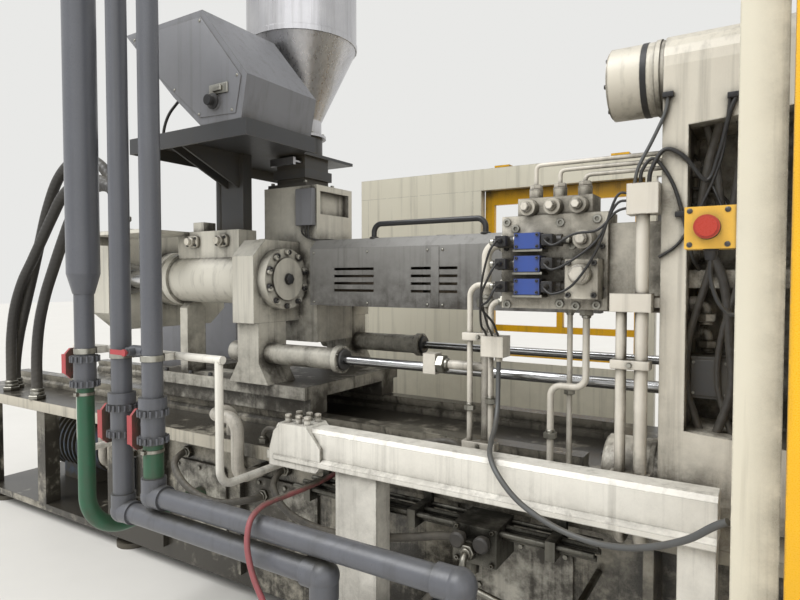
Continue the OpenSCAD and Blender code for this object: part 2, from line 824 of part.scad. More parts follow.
module purge_gate() {
    l = purge_x1 - purge_x0;
    z0 = -500;
    z1 = 640;
    y = far_beam_y + 70;
    hook = 713 + seat;
    color("gold") {
        difference() {
            block([purge_x0, y, z0], [purge_x1, y + gate_t - 10, z1]);
            block([purge_x0 + 64, y - past, -300], [purge_x0 + l / 2 - 20, y + gate_t, 483]);
            block([purge_x0 + l / 2 + 20, y - past, -300], [purge_x1 - 64, y + gate_t, 483]);
            block([purge_x0 + 64, y - past, -455], [purge_x1 - 64, y + gate_t, -340]);
        }
        for (x = [purge_x0 + 90, purge_x1 - 190]) {
            block([x, y, z1 - 5], [x + 100, y + gate_t - 10, hook + 14]);
            block([x, far_beam_y + 5, hook], [x + 100, y + gate_t - 10, hook + 14]);
        }
        bar_z(-200, 50, 24, purge_x1 - 32, y + gate_t + 35);
        for (z = [-185, 35]) bar_y(y + gate_t - 12, y + gate_t + 35, 16, purge_x1 - 32, z);
    }
}

// Hydraulic manifold at the near side of the fixed platen
man_x0 = -900;
man_x1 = -560;
man_y0 = -625;
man_y1 = -500;

module manifold_block() {
    color("whitesmoke") {
        block([man_x0, man_y0, -95], [man_x1, man_y1, 205]);
        block([man_x0 + 50, man_y0 + 12, 204], [man_x1 - 50, man_y1 - 10, 262]);
        for (k = [0:2]) {
            x = man_x0 + 95 + 80 * k;
            bar_y(man_y0 - 30, man_y0 + 20, 52, x, 228);
            bar_y(man_y0 - 48, man_y0 - 28, 30, x, 228);
            bar_z(260, 292, 44, x, man_y0 + 60);
        }
        block([man_x1 - 110, man_y0 - 70, -60], [man_x1 - 12, man_y0 + 5, 60]);
        bar_y(man_y0 - 105, man_y0 - 60, 62, man_x1 - 60, 15);
        bar_y(man_y0 - 65, man_y0 + 5, 58, man_x1 - 60, 120);
        bar_y(man_y0 - 85, man_y0 - 60, 34, man_x1 - 60, 120);
        block([man_x1 - 5, man_y0 + 20, -50], [-platen_t, man_y0 + 60, 170]);
        block([man_x1 - 5, man_y0 + 58, -50], [-platen_t, man_y1 - 10, -20]);
    }
}

// Three stacked valves with a solenoid at each end of each body
valve_z = [120, 48, -24];

module directional_valves() {
    y0 = man_y0 - 62;
    color("mediumblue")
        for (z = valve_z) {
            block([-835, y0, z - 25], [-752, man_y0, z + 25]);
            block([-842, y0 + 8, z - 33], [-745, man_y0, z - 26.5]);
            bar_x(-900, -834, 38, y0 + 32, z);
            bar_x(-915, -899, 24, y0 + 32, z);
            bar_x(-753, -690, 38, y0 + 32, z);
            bar_x(-691, -676, 24, y0 + 32, z);
            block([-885, y0 - 12, z - 14], [-856, y0 + 20, z + 14]);
            block([-735, y0 - 12, z - 14], [-706, y0 + 20, z + 14]);
            bar_y(y0 - 30, y0 - 8, 18, -720, z);
            bar_y(y0 - 30, y0 - 8, 18, -870, z);
        }
}

// White tubes and conduits from the manifold down to the deck
module manifold_pipes() {
    near = -585;
    mid = -545;
    edge = -deck_w / 2;
    out = edge - 98;
    drop = deck_z - 30;
    face = -platen_w / 2;
    color("whitesmoke") {
        tube_run([[man_x0, near, -20], [-1034, near, -20], [-1034, near, deck_z]], 20, 40);
        tube_run([[man_x0, near, -75], [-955, near, -75], [-955, near, deck_z]], 20, 34);
        tube_run([[man_x0, mid, 120], [-990, mid, 120], [-990, mid, deck_z]], 34, 45);
        bar_x(-1200, -990, 34, mid, -312);
        block([-1232, mid - 26, -350], [-1180, mid + 26, -274]);
        block([-965, near - 65, -260], [-885, near, -190]);
        bar_z(-275, -259, 26, -910, -625);
        tube_run(
            [[-632, near, -95], [-632, near, -345], [-745, near, -345], [-745, near, deck_z]],
            22, 36
        );
        bar_z(deck_z, -95, 18, -699, -530);
        tube_run([[-444, out, 180], [-444, out, drop], [-444, edge, drop]], 36, 35);
        tube_run([[-498, out, -90], [-498, out, drop], [-498, edge, drop]], 30, 35);
        block([-526, out - 24, -92], [-416, face + 10, -40]);
        block([-417, face, -80], [-platen_t, face + 10, -52]);
        block([-482, out - 34, 178], [-platen_t, face + 16, 262]);
        tube_run(
            [[-2250, -560, deck_z], [-2250, -560, -600], [-2250, -690, -600], [-2080, -690, -600],
             [-2080, -690, -860], [-2080, -tank_w / 2, -860]],
            56, 60
        );
    }
}

module tube_bundle() {
    edge = -deck_w / 2;
    color("silver") {
        for (k = [0:4]) bar_x(-1700, -560, 18, edge - 14 - 27 * k, -800 - 20 * (k % 2));
        for (x = [-1640, -1180, -700]) {
            block([x, edge - 140, -842], [x + 30, edge, -782]);
            block([x, edge - 24, -790], [x + 30, edge, -735]);
        }
        block([-1000, edge - 150, -905], [-850, edge, -783]);
        bar_y(edge - 190, edge - 145, 60, -925, -845);
        bar_z(-960, -900, 46, -960, edge - 90);
    }
}

module carriage_rods() {
    color("silver")
        both_sides() {
            bar_x(pull_rod_end, -platen_t, pull_d, pull_y, pull_z);
            bar_x(-platen_t - 30, -platen_t, pull_d + 70, pull_y, pull_z);
        }
}

// Yellow box on the guard post, bored for the push button's stem
module estop_box() {
    x0 = estop_x1 - estop_w;
    z = estop_z;
    h = estop_half;
    color("gold")
        difference() {
            union() {
                block([x0, estop_y, z - h], [estop_x1, estop_y + estop_deep, z + h]);
                bar_y(estop_y - 2, estop_y + 1, estop_d - 6, estop_x, z);
            }
            bar_y(estop_y - 3, estop_y + 50, 12 + 2 * run_gap, estop_x, z);
            for (x = [x0 + 9, estop_x1 - 14], sz = [-1, 1])
                bar_y(estop_y - past, estop_y + 3, 7, x, z + sz * (h - 8));
        }
}

module estop_stem() {
    color("silver") bar_y(estop_y - 18, estop_y + 38, 12, estop_x, estop_z);
}

module estop_head() {
    color("red")
        difference() {
            union() {
                bar_y(estop_y - 24, estop_y - 14, estop_d, estop_x, estop_z);
                bar_y(estop_y - 28, estop_y - 23, estop_d - 8, estop_x, estop_z);
                bar_y(estop_y - 15, estop_y - 9, estop_d - 16, estop_x, estop_z);
            }
            bar_y(estop_y - 19, estop_y - 8, 12 + 2 * run_gap, estop_x, estop_z);
        }
}

// Plastic risers with flanged tops, and the two headers that they feed
module water_pipes() {
    y = -pipe_y;
    low = -1300;
    color("slategray") {
        difference() {
            union() {
                bar_z(20, pipe_top, riser_d, riser_x[0], y);
                translate([riser_x[0], y, -60]) cylinder(h = 81, d1 = header_d + 6, d2 = riser_d);
                bar_z(stem_z[0] + 65, -59, header_d, riser_x[0], y);
                bar_z(pipe_top - 24, pipe_top, riser_d + 105, riser_x[0], y);
            }
            bar_z(pipe_top - 300, pipe_top + past, riser_d - 16, riser_x[0], y);
            translate([riser_x[0], y, 0])
                for (k = [0:7])
                    rotate([0, 0, 45 * k]) bar_z(pipe_top - 30, pipe_top + past, 18, (riser_d + 65) / 2);
        }
        for (i = [1, 2])
            difference() {
                union() {
                    bar_z(stem_z[i] + 65, pipe_top, header_d, riser_x[i], y);
                    bar_z(stem_z[i] + 66, stem_z[i] + 106, header_d + 26, riser_x[i], y);
                    bar_z(pipe_top - 18, pipe_top, header_d + 85, riser_x[i], y);
                }
                bar_z(pipe_top - 300, pipe_top + past, header_d - 12, riser_x[i], y);
                translate([riser_x[i], y, 0])
                    for (k = [0:3])
                        rotate([0, 0, 90 * k + 45])
                            bar_z(pipe_top - 24, pipe_top + past, 16, (header_d + 50) / 2);
            }
        socket_run(
            [[riser_x[1], y, stem_z[1] - 65], [riser_x[1], y, header_z[0]],
             [header_end[0], y, header_z[0]],
             [header_end[0], y, -1200], [header_end[0], beam_y - 145, -1200],
             [drop_x, beam_y - 145, -1200],
             [drop_x, -tank_w / 2, -1200]],
            header_d
        );
        socket_run(
            [[riser_x[2], y, hose_low], [riser_x[2], y, header_z[1]], [header_end[1], y, header_z[1]],
             [header_end[1], y, low], [header_end[1], -tank_w / 2, low]],
            header_d
        );
    }
}

module valve_body(x, y, z) {
    difference() {
        union() {
            bar_z(z - 45, z + 45, header_d + 10, x, y);
            translate([x, y, z - 65]) cylinder(h = 30, d = header_d + 24, $fn = 6);
            translate([x, y, z + 35]) cylinder(h = 30, d = header_d + 24, $fn = 6);
            bar_x(x - lever_off + 17, x - 30, 36, y, z);
        }
        bar_x(x - lever_off + 16, x - 35, stem_d + 2 * run_gap, y, z);
    }
}

module ball_valves() {
    drain_x = riser_x[2] - header_d / 2;
    color("darkgray") {
        for (i = [0:2]) valve_body(riser_x[i], -pipe_y, stem_z[i]);
        difference() {
            union() {
                bar_x(drain_x - 75, drain_x, 44, -pipe_y, drain_z);
                bar_x(drain_x - 110, drain_x - 74, 28, -pipe_y, drain_z);
                bar_y(-pipe_y - 46, -pipe_y, 28, drain_x - 42, drain_z);
            }
            bar_y(-pipe_y - 47, -pipe_y - 18, 10 + 2 * run_gap, drain_x - 42, drain_z);
        }
    }
}

module lever(i) {
    x = riser_x[i] - lever_off;
    y = -pipe_y;
    z = stem_z[i];
    top = i == 0 ? 90 : 58;
    low = i == 0 ? -34 : -lever_l + 54;
    w = 42;
    color("red") {
        bar_x(x - 5, riser_x[i] - 37, stem_d, y, z);
        bar_x(x - 12, x + 6, 46, y, z);
        along_x(x - 8, x + 4)
            polygon([
                [y - w / 2, z + top], [y + w / 2, z + top], [y + w, z + top - 22], [y + w, z + low + 20],
                [y + w / 2, z + low], [y - w / 2, z + low], [y - w, z + low + 20], [y - w, z + top - 22]
            ]);
        for (s = [-1, 1])
            block(
                [x - 26, y + s * (w - 3) - 3, z + low + 22],
                [x - 7, y + s * (w - 3) + 3, z + top - 24]
            );
    }
}

module lever_1() lever(0);
module lever_2() lever(1);
module lever_3() lever(2);

module lever_4() {
    x = riser_x[2] - header_d / 2 - 42;
    y = -pipe_y;
    color("red") {
        bar_y(y - 64, y - 20, 10, x, drain_z);
        bar_y(y - 64, y - 56, 26, x, drain_z);
        block([x - 80, y - 64, drain_z - 9], [x, y - 56, drain_z + 9]);
    }
}

module green_hoses() {
    color("darkgreen") {
        tube_run(
            [[riser_x[0], -pipe_y, stem_z[0] - 65], [riser_x[0], -pipe_y, -1050],
             [riser_x[0], -tank_w / 2, -1050]],
            66, 170
        );
        bar_z(hose_low, stem_z[2] - 65, 72, riser_x[2], -pipe_y);
    }
}

// Long guard beam beside the injection bed with its cast end, and the pipe stand
module side_beam() {
    y = -pipe_y + header_d / 2;
    edge = -deck_w / 2;
    stand_y = y + 55;
    color("whitesmoke") {
        along_x(-1700, -240)
            polygon([
                [beam_y - 40, -550], [beam_y - 27, -537], [beam_y + 43, -537],
                [beam_y + 55, -549], [beam_y + 55, -640], [beam_y + 67, -652],
                [beam_y + 67, -666], [beam_y - 57, -666], [beam_y - 57, -650],
                [beam_y - 40, -638]
            ]);
        along_y(beam_y - 53, beam_y + 63)
            polygon([
                [-1722, -690], [-1500, -690], [-1480, -666], [-1480, -600], [-1545, -528],
                [-1660, -528], [-1700, -560], [-1722, -630]
            ]);
        for (x = [-1650, -1600, -1560], s = [-25, 35]) bar_z(-530, -512, 24, x, beam_y + s);
        block([-1742, beam_y - 45, -672], [-1715, beam_y + 55, -640]);
        for (x = [[-1421, -1250], [-330, -242]]) {
            block([x[0], beam_y - 40, floor_z + 12], [x[1], beam_y + 45, -665]);
            block([x[0] - 20, beam_y - 65, floor_z], [x[1] + 20, beam_y + 70, floor_z + 14]);
        }
        block([-1300, beam_y + 44, -700], [-1262, edge, -672]);
        block([-1300, edge - 12, -740], [-1262, edge, -672]);
        bar_x(-2722, -1798, 30, stand_y, -290);
        for (x = [-2700, -1820])
            tube_run([[x, stand_y, -290], [x, stand_y, deck_z - 30], [x, edge, deck_z - 30]], 30, 60);
        for (x = riser_x)
            block([x - 22, y + seat, -304], [x + 22, stand_y - 5, -276]);
    }
}

module black_hoses() {
    color("black")
        for (k = [0:2])
            hose([for (q = hose_route[k]) [q[0], hose_y[k], q[1]]], hose_d, 22);
}

module grey_cable() {
    color("gray") hose(cable_route, cable_d, 42, 8, [0.3, 0.2, 1]);
}

module red_hose() {
    color("indianred") hose(red_route, red_d, 36, 8, [1, 0, 0]);
}

// Carriage: a saddle on the ways, uprights for the housing and two pull-in cylinders
module carriage_base() {
    x0 = -3050;
    x1 = -1950;
    half = rail_pitch / 2;
    pull_x1 = -1760;
    saddle = [cyl_x0 + 58, cyl_x0 + 118];
    color("gainsboro")
        difference() {
            union() {
                block([x0, -400, -560], [x1, 400, -500]);
                both_sides() {
                    block([x0, half - 60, rail_z + seat], [x1, half + 60, -559]);
                    along_y(250, 440)
                        polygon([
                            [plate_x0 - 60, -501], [plate_x1 + 60, -501], [plate_x1, -400],
                            [plate_x1, -210], [plate_x0, -210], [plate_x0, -400]
                        ]);
                    block([saddle[0], 240, -501], [saddle[1], 360, -inj_cyl_d / 2 - 30]);
                    bar_x(plate_x0 - 100, pull_x1, 100, pull_y, pull_z);
                    bar_x(pull_x1 - 30, pull_x1, 124, pull_y, pull_z);
                    along_x(saddle[0], saddle[1])
                        polygon([
                            [240, -inj_cyl_d / 2 - 31], [360, -inj_cyl_d / 2 - 31],
                            [330, -inj_cyl_d / 2 - seat], [270, -inj_cyl_d / 2 - seat]
                        ]);
                }
            }
            both_sides()
                bar_x(plate_x0 - 90, pull_x1 + past, pull_d + 2 * run_gap, pull_y, pull_z);
            block([x0 + 200, -170, -570], [plate_x0 - 120, 170, -490]);
        }
}

// Feed housing: a cast block round the barrel with a plate for both injection cylinders
module feed_housing() {
    half = inj_pitch / 2 - inj_cyl_d / 2 - 27;
    edge = inj_pitch / 2 + inj_cyl_d / 2 + 45;
    color("gainsboro")
        difference() {
            union() {
                block([-barrel_back, -half, -320], [housing_x1, half, 300]);
                block([-barrel_back, -half, 299], [housing_x1, half, housing_top]);
                along_x(plate_x0, plate_x1)
                    polygon([
                        [-edge, -210], [edge, -210], [edge, 110], [edge - 80, 190],
                        [-edge + 80, 190], [-edge, 110]
                    ]);
                for (s = [-1, 1])
                    block([plate_x0 - 60, s * half - 12, -210], [plate_x0 + 1, s * half + 12, 160]);
            }
            bar_x(-barrel_back - past, housing_x1 + past, barrel_d + 2 * seat);
            bar_z(0, housing_top + past, throat_d, tx);
            both_sides()
                bar_x(plate_x0 - 70, plate_x1 + past, inj_cyl_d + 2 * seat, inj_y);
            block([housing_x1 - 30, -half + 30, 330], [housing_x1 + past, half - 30, housing_top - 30]);
        }
}

module barrel() {
    color("silver")
        difference() {
            union() {
                bar_x(-barrel_back, -barrel_front - 70, barrel_d);
                bar_x(-barrel_front - 71, -barrel_front, barrel_d - 40);
                bolt_heads_x(-barrel_front - 75, -barrel_front - 52, barrel_d - 18, 8, 20);
            }
            bar_x(-barrel_back - past, -barrel_front - 90, screw_d);
            bar_x(-barrel_front - 91, -barrel_front + past, 40);
            bar_z(0, barrel_d, throat_d - 40, tx);
        }
}

module nozzle() {
    x0 = -barrel_front;
    color("silver")
        difference() {
            union() {
                bar_x(x0, x0 + 110, 130);
                translate([x0 + 109, 0, 0]) rotate([0, 90, 0]) cylinder(h = 50, d = 120, $fn = 6);
                bar_x(x0 + 158, x0 + 270, 84);
                translate([x0 + 269, 0, 0]) rotate([0, 90, 0]) cylinder(h = 41, d1 = 84, d2 = 30);
            }
            bar_x(x0 - past, x0 + 40, 40);
            bar_x(x0 + 39, x0 + 320, 12);
        }
}

module heater_bands() {
    band = 200;
    x0 = housing_x1 + 130;
    pitch = (-barrel_front - 90 - band - x0) / (heater_n - 1);
    color("goldenrod")
        for (k = [0:heater_n - 1])
            translate([x0 + k * pitch, 0, 0]) difference() {
                union() {
                    bar_x(0, band, heater_d);
                    block([60, -26, heater_d / 2 - 6], [140, 26, heater_d / 2 + 26]);
                }
                bar_x(-past, band + past, barrel_d + 2 * seat);
            }
}

// Sheet cover over the barrel: open below, with a chamfered top, vents and an end plate
function cover_outline(inset) =
    let (h = cover_w / 2 - inset, t = cover_z0 + cover_h - inset, c = 46 - inset / 3)
    [[-h, cover_z0 - (inset > 0 ? past : 0)], [h, cover_z0 - (inset > 0 ? past : 0)],
     [h, t - c], [h - c, t], [-h + c, t], [-h, t - c]];

module barrel_cover() {
    wall = 5;
    hole_r = heater_d / 2 + 20;
    color("lightgray")
        difference() {
            along_x(cover_x0, cover_x1) polygon(cover_outline(0));
            along_x(cover_x0 + wall, cover_x1 - wall) polygon(cover_outline(wall));
            for (x = [cover_x0 - past, cover_x1 - wall - past]) {
                bar_x(x, x + wall + 2 * past, 2 * hole_r);
                block([x, -hole_r, cover_z0 - past], [x + wall + 2 * past, hole_r, 0]);
            }
            for (x = [cover_x0 + 150:430:cover_x1 - 300], k = [0:3])
                block([x, -cover_w, -60 + 34 * k], [x + 230, cover_w, -48 + 34 * k]);
        }
}

module cover_handle() {
    z0 = cover_z0 + cover_h;
    color("black")
        tube_run(
            [[-1741, -140, z0], [-1741, -140, z0 + 66], [-1171, -140, z0 + 66], [-1171, -140, z0]],
            25, 40
        );
}

module injection_cylinders() {
    flange_d = inj_cyl_d + 47;
    top = inj_cyl_d / 2;
    color("whitesmoke") {
        both_sides()
            difference() {
                union() {
                    bar_x(cyl_x0, plate_x1 + 1, inj_cyl_d, inj_y);
                    bar_x(cyl_x0, cyl_x0 + 46, inj_cyl_d + 30, inj_y);
                    bar_x(plate_x1, flange_x1, flange_d, inj_y);
                    bar_x(flange_x1 - 1, flange_x1 + 10, flange_d - 90, inj_y);
                    bolt_heads_x(flange_x1 - 1, flange_x1 + 15, flange_d - 36, 10, 24, inj_y);
                    bar_x(cyl_x0 - 38, cyl_x0 + 1, 190, inj_y);
                    block([cyl_x0 + 50, inj_y - 60, top - 30], [plate_x0 - 70, inj_y + 60, top + 125]);
                    block([cyl_x0 + 150, inj_y - 40, top + 124], [cyl_x0 + 230, inj_y + 40, top + 175]);
                }
                bar_x(cyl_x0 + 20, plate_x1 - 20, inj_piston_d + 2 * run_gap, inj_y);
                bar_x(cyl_x0 - 40, cyl_x0 + 21, inj_rod_d + 2 * run_gap, inj_y);
            }
        block([-3300, hose_y[2] - 40, top + 105], [cyl_x0 + 140, -inj_y - 30, top + 125]);
        block([-3300, hose_y[2] - 40, top + 60], [-3288, -inj_y - 130, top + 106]);
        for (k = [0:2])
            bar_z(top + 124, 300, 74, hose_route[k][0][0], hose_y[k]);
    }
}

module piston_rods() {
    front = plate_x1 - 30;
    color("silver")
        both_sides() {
            bar_x(cross_x1, front - 40, inj_rod_d, inj_y);
            bar_x(cross_x1, cross_x1 + 30, inj_rod_d + 66, inj_y);
            bar_x(front - 80, front, inj_piston_d, inj_y);
        }
}

module crosshead() {
    half = inj_y + 130;
    color("gainsboro")
        difference() {
            union() {
                along_x(cross_x0, cross_x1)
                    polygon([
                        [-half, -200], [-half + 120, -300], [half - 120, -300], [half, -200],
                        [half, 200], [half - 120, 300], [-half + 120, 300], [-half, 200]
                    ]);
                bar_x(cross_x1 - 1, cross_x1 + 90, 330);
            }
            bar_x(cross_x0 - past, cross_x1 + 91, screw_d + 2 * run_gap);
            both_sides()
                block([cross_x0 - past, 200, -140], [cross_x0 + 70, half - 60, 140]);
        }
}

module screw_motor() {
    color("gainsboro") {
        bar_x(cross_x0 - 60, cross_x0, 400);
        bar_x(cross_x0 - 430, cross_x0 - 59, 330);
        bar_x(cross_x0 - 470, cross_x0 - 429, 280);
        bolt_heads_x(cross_x0 - 80, cross_x0 - 59, 366, 10, 24);
        block([cross_x0 - 360, -90, 130], [cross_x0 - 180, 90, 260]);
        for (k = [-1, 1]) bar_z(259, 300, 60, cross_x0 - 270 + 44 * k);
    }
}

// Plasticising screw: a plain shank in the crosshead, then flights up to the tip
module screw() {
    shank_end = -barrel_back - 30;
    root_d = screw_d * 0.68;
    pitch = 150;
    length = screw_tip - 80 - shank_end;
    turns = round(length / pitch);
    color("silver") {
        bar_x(cross_x0 + 5, shank_end + 1, screw_d - 2 * run_gap);
        translate([shank_end, 0, 0])
            rotate([0, 90, 0])
                linear_extrude(height = length, twist = -360 * turns, slices = turns * 8, $fn = 8) {
                    circle(d = root_d, $fn = 8);
                    translate([0, -7]) square([screw_d / 2 - 1.2, 14]);
                }
        bar_x(screw_tip - 81, screw_tip - 50, root_d - 4);
        translate([screw_tip - 51, 0, 0]) rotate([0, 90, 0]) cylinder(h = 51, d1 = screw_d - 8, d2 = 20);
    }
}

// Stainless hopper turned from one profile
module hopper() {
    w = hopper_wall;
    neck = 100;
    color("silver")
        translate([tx, 0, 0])
            rotate_extrude($fn = 96)
                polygon([
                    [neck + 24, stack_top], [neck + 24, stack_top + 14], [neck, stack_top + 14],
                    [neck, cone_z0],
                    [hopper_r, cone_z1], [hopper_r, hopper_top - 20], [hopper_r + 8, hopper_top - 20],
                    [hopper_r + 8, hopper_top], [hopper_r - w, hopper_top], [hopper_r - w, cone_z1 + 1],
                    [neck - w, cone_z0 + 1], [neck - w, stack_top]
                ]);
}

lid_axis = [hopper_r + 14, hopper_top + 12];

module hopper_lid() {
    z = hopper_top + seat;
    color("silver")
        translate([tx, 0, 0]) {
            bar_z(z, z + 5, 2 * hopper_r + 16);
            bar_z(z + 4, z + 10, 2 * hopper_r - 60);
            bar_x(-40, 40, 12, lid_axis[0], lid_axis[1]);
            block([-36, hopper_r - 40, z + 4], [36, lid_axis[0], z + 12]);
            tube_run(
                [[-60, -200, z + 9], [-60, -200, z + 50], [60, -200, z + 50], [60, -200, z + 9]],
                14, 16
            );
        }
}

module throat_stack() {
    z0 = housing_top;
    half = 96;
    slot_z = z0 + 125;
    color("dimgray")
        difference() {
            union() {
                block([tx - 130, -130, z0], [tx + 130, 130, z0 + 20]);
                block([tx - half, -half, z0 + 19], [tx + half, half, shelf_z + 1]);
                block([tx - half - 14, -half - 14, z0 + 50], [tx + half + 14, half + 14, z0 + 100]);
                translate([0, 0, shelf_z])
                    linear_extrude(height = 16)
                        polygon([
                            [-2720, -745], [-1955, -745], [-1955, -310], [-2180, -130],
                            [-2180, 290], [-2720, 290]
                        ]);
                bar_z(shelf_z + 15, stack_top, 210, tx);
                for (s = [-1, 1]) bar_z(inj_cyl_d / 2 + 125, shelf_z + 1, 44, -2640, s * 270);
                block([-2720, -745, shelf_z - 55], [-1955, -735, shelf_z + 1]);
                block([-2720, -736, shelf_z - 55], [-2710, 290, shelf_z + 1]);
                block([-1965, -736, shelf_z - 55], [-1955, -310, shelf_z + 1]);
                for (x = [-2560, -2480])
                    rotate([90, 0, 90]) translate([0, 0, x]) linear_extrude(height = 12)
                        polygon([[-700, shelf_z + 1], [-260, shelf_z + 1], [-260, shelf_z - 190]]);
                block([-2600, -300, shelf_z - 200], [-2440, -240, shelf_z + 1]);
                block([-2600, -300, inj_cyl_d / 2 + 125], [-2440, -240, shelf_z - 199]);
            }
            bar_z(z0 - past, stack_top + past, throat_d, tx);
            block([tx - 80, -half - past, slot_z], [tx + 80, 86, slot_z + 10]);
        }
}

module hopper_slide() {
    z = housing_top + 125;
    color("silver") {
        block([tx - 80 + seat, -150, z + seat], [tx + 80 - seat, 84, z + 10 - seat]);
        block([tx - 80 + seat, -166, z - 14], [tx + 80 - seat, -149, z + 24]);
    }
}

// Dosing unit in front of the hopper, with one sloped face over its drive
module dosing_box() {
    base = shelf_z + 16;
    color("gray") {
        along_y(-741, -310)
            polygon([
                [-2741, 1142], [-2212, 1142], [-1950, 830], [-1985, base],
                [-2230, base], [-2400, 800], [-2560, 960]
            ]);
        bar_y(-760, -740, 60, -2130, 740);
        bar_z(1141, 1162, 120, -2450, -520);
        bar_z(1161, 1235, 76, -2450, -520);
    }
}

// Control panel on a swivel hub at the far guard post
panel_pin = [post_x[0], guard_y + 95];
panel_z = 160;

module control_panel() {
    x = panel_pin.x;
    y = panel_pin.y;
    color("lightgray")
        difference() {
            union() {
                bar_z(panel_z + seat, panel_z + 76, 84, x, y);
                block([x - 140, y - 22, 176], [x - 30, y + 22, 220]);
                block([x - 560, y - 50, -120], [x - 138, y + 60, 440]);
                block([x - 520, y + 59, 150], [x - 180, y + 74, 410]);
                for (r = [0:3], c = [0:6])
                    translate([x - 515 + 46 * c, y + 59, -90 + 52 * r]) cube([32, 7, 32]);
            }
            bar_z(panel_z - 1, panel_z + 77, 40 + 2 * run_gap, x, y);
            block([x - 500, y + 70, 170], [x - 200, y + 75, 390]);
        }
}

clamp_bed();
injection_bed();
levelling_pads();
fixed_platen();
rear_platen();
tie_bars();
tie_bar_nuts();
tie_bar_covers();
clamp_cylinder();
pump_motor();
hydraulic_pump();
electric_cabinet();
guard_posts();
guard_rails();
guard_panels();
manifold_block();
directional_valves();
manifold_pipes();
estop_box();
water_pipes();
ball_valves();
green_hoses();
side_beam();
tube_bundle();
carriage_rods();
black_hoses();
grey_cable();
red_hose();
carriage_base();
feed_housing();
barrel();
nozzle();
heater_bands();
barrel_cover();
cover_handle();
injection_cylinders();
hopper();
throat_stack();
dosing_box();
crosshead();
piston_rods();
screw_motor();
screw();
moving_platen();
clamp_ram();
ejector_plate();
rear_gate();
front_gate();
purge_gate();
estop_stem();
estop_head();
lever_1();
lever_2();
lever_3();
lever_4();
hopper_lid();
hopper_slide();
cabinet_door();
motor_rotor();
control_panel();
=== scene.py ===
"""Looks of a hydraulic injection moulding machine: finishes, hoses, cables and small fittings.

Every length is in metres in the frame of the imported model. The origin is the centre of the
locating bore on the fixed platen's mould face, +X runs to the clamp end and +Z is up.
"""

import logging
import math
from collections.abc import Sequence
from dataclasses import dataclass
from enum import Enum
from typing import Any

import bpy
import numpy as np
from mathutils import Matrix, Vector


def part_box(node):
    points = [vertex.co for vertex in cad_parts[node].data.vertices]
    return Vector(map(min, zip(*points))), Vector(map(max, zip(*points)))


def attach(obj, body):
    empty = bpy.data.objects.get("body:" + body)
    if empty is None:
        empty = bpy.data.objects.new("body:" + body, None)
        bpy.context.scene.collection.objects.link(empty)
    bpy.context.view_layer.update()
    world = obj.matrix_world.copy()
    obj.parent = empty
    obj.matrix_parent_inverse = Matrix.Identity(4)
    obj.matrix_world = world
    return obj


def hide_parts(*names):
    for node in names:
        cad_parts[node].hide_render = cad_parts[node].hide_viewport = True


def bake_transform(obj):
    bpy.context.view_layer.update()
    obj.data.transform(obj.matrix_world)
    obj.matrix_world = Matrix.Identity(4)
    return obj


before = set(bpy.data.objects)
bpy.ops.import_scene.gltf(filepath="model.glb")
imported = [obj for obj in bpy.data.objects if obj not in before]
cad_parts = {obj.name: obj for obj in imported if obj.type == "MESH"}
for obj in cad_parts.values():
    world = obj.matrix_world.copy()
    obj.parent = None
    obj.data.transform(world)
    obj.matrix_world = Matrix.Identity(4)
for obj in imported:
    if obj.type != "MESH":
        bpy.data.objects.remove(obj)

LOG = logging.getLogger("moulding_machine")
MM = 0.001
GOLDEN_ANGLE = 2.399963  # radians; spreads directions evenly over a dome
Point = tuple[float, float, float]


# Meshes


@dataclass
class Surface:
    """Vertices and faces of one closed form, kept as arrays until the mesh is made."""

    verts: np.ndarray
    faces: list[np.ndarray]
    uv: np.ndarray | None = None

    def moved(self, shift: Sequence[float]) -> "Surface":
        """Gives the same form shifted by a vector."""
        return Surface(self.verts + np.asarray(shift, float), self.faces, self.uv)

    def turned(self, across: Sequence[float], up: Sequence[float]) -> "Surface":
        """Gives the form turned so that its own Z lies along up and its own X along across.

        Args:
            across: Direction that the form's X axis takes.
            up: Direction that the form's Z axis takes.

        Returns:
            The turned form, x·across + y·(up × across) + z·up for each vertex.
        """
        z_axis = np.asarray(up, float) / np.linalg.norm(up)
        x_axis = np.asarray(across, float)
        x_axis = x_axis - z_axis * (x_axis @ z_axis)
        x_axis = x_axis / np.linalg.norm(x_axis)
        basis = np.array([x_axis, np.cross(z_axis, x_axis), z_axis])
        return Surface(self.verts @ basis, self.faces, self.uv)

    def copied(self, shifts: np.ndarray) -> "Surface":
        """Repeats the form at many places.

        Args:
            shifts: One row of x, y, z for each copy.

        Returns:
            One form that holds all copies.
        """
        shifts = np.atleast_2d(np.asarray(shifts, float))
        verts = (self.verts[None] + shifts[:, None]).reshape(-1, 3)
        steps = np.arange(len(shifts))[:, None, None] * len(self.verts)
        faces = [(f[None] + steps).reshape(-1, f.shape[1]) for f in self.faces]
        uv = None if self.uv is None else np.tile(self.uv, (len(shifts), 1))
        return Surface(verts, faces, uv)


def joined(forms: Sequence[Surface]) -> Surface:
    """Puts several forms into one.

    Args:
        forms: The forms, each closed in itself.

    Returns:
        One form with all their vertices and faces.
    """
    verts, faces, uvs, start = [], [], [], 0
    for form in forms:
        verts.append(form.verts)
        faces.extend(f + start for f in form.faces)
        uvs.append(np.zeros((len(form.verts), 2)) if form.uv is None else form.uv)
        start += len(form.verts)
    return Surface(np.vstack(verts), faces, np.vstack(uvs))


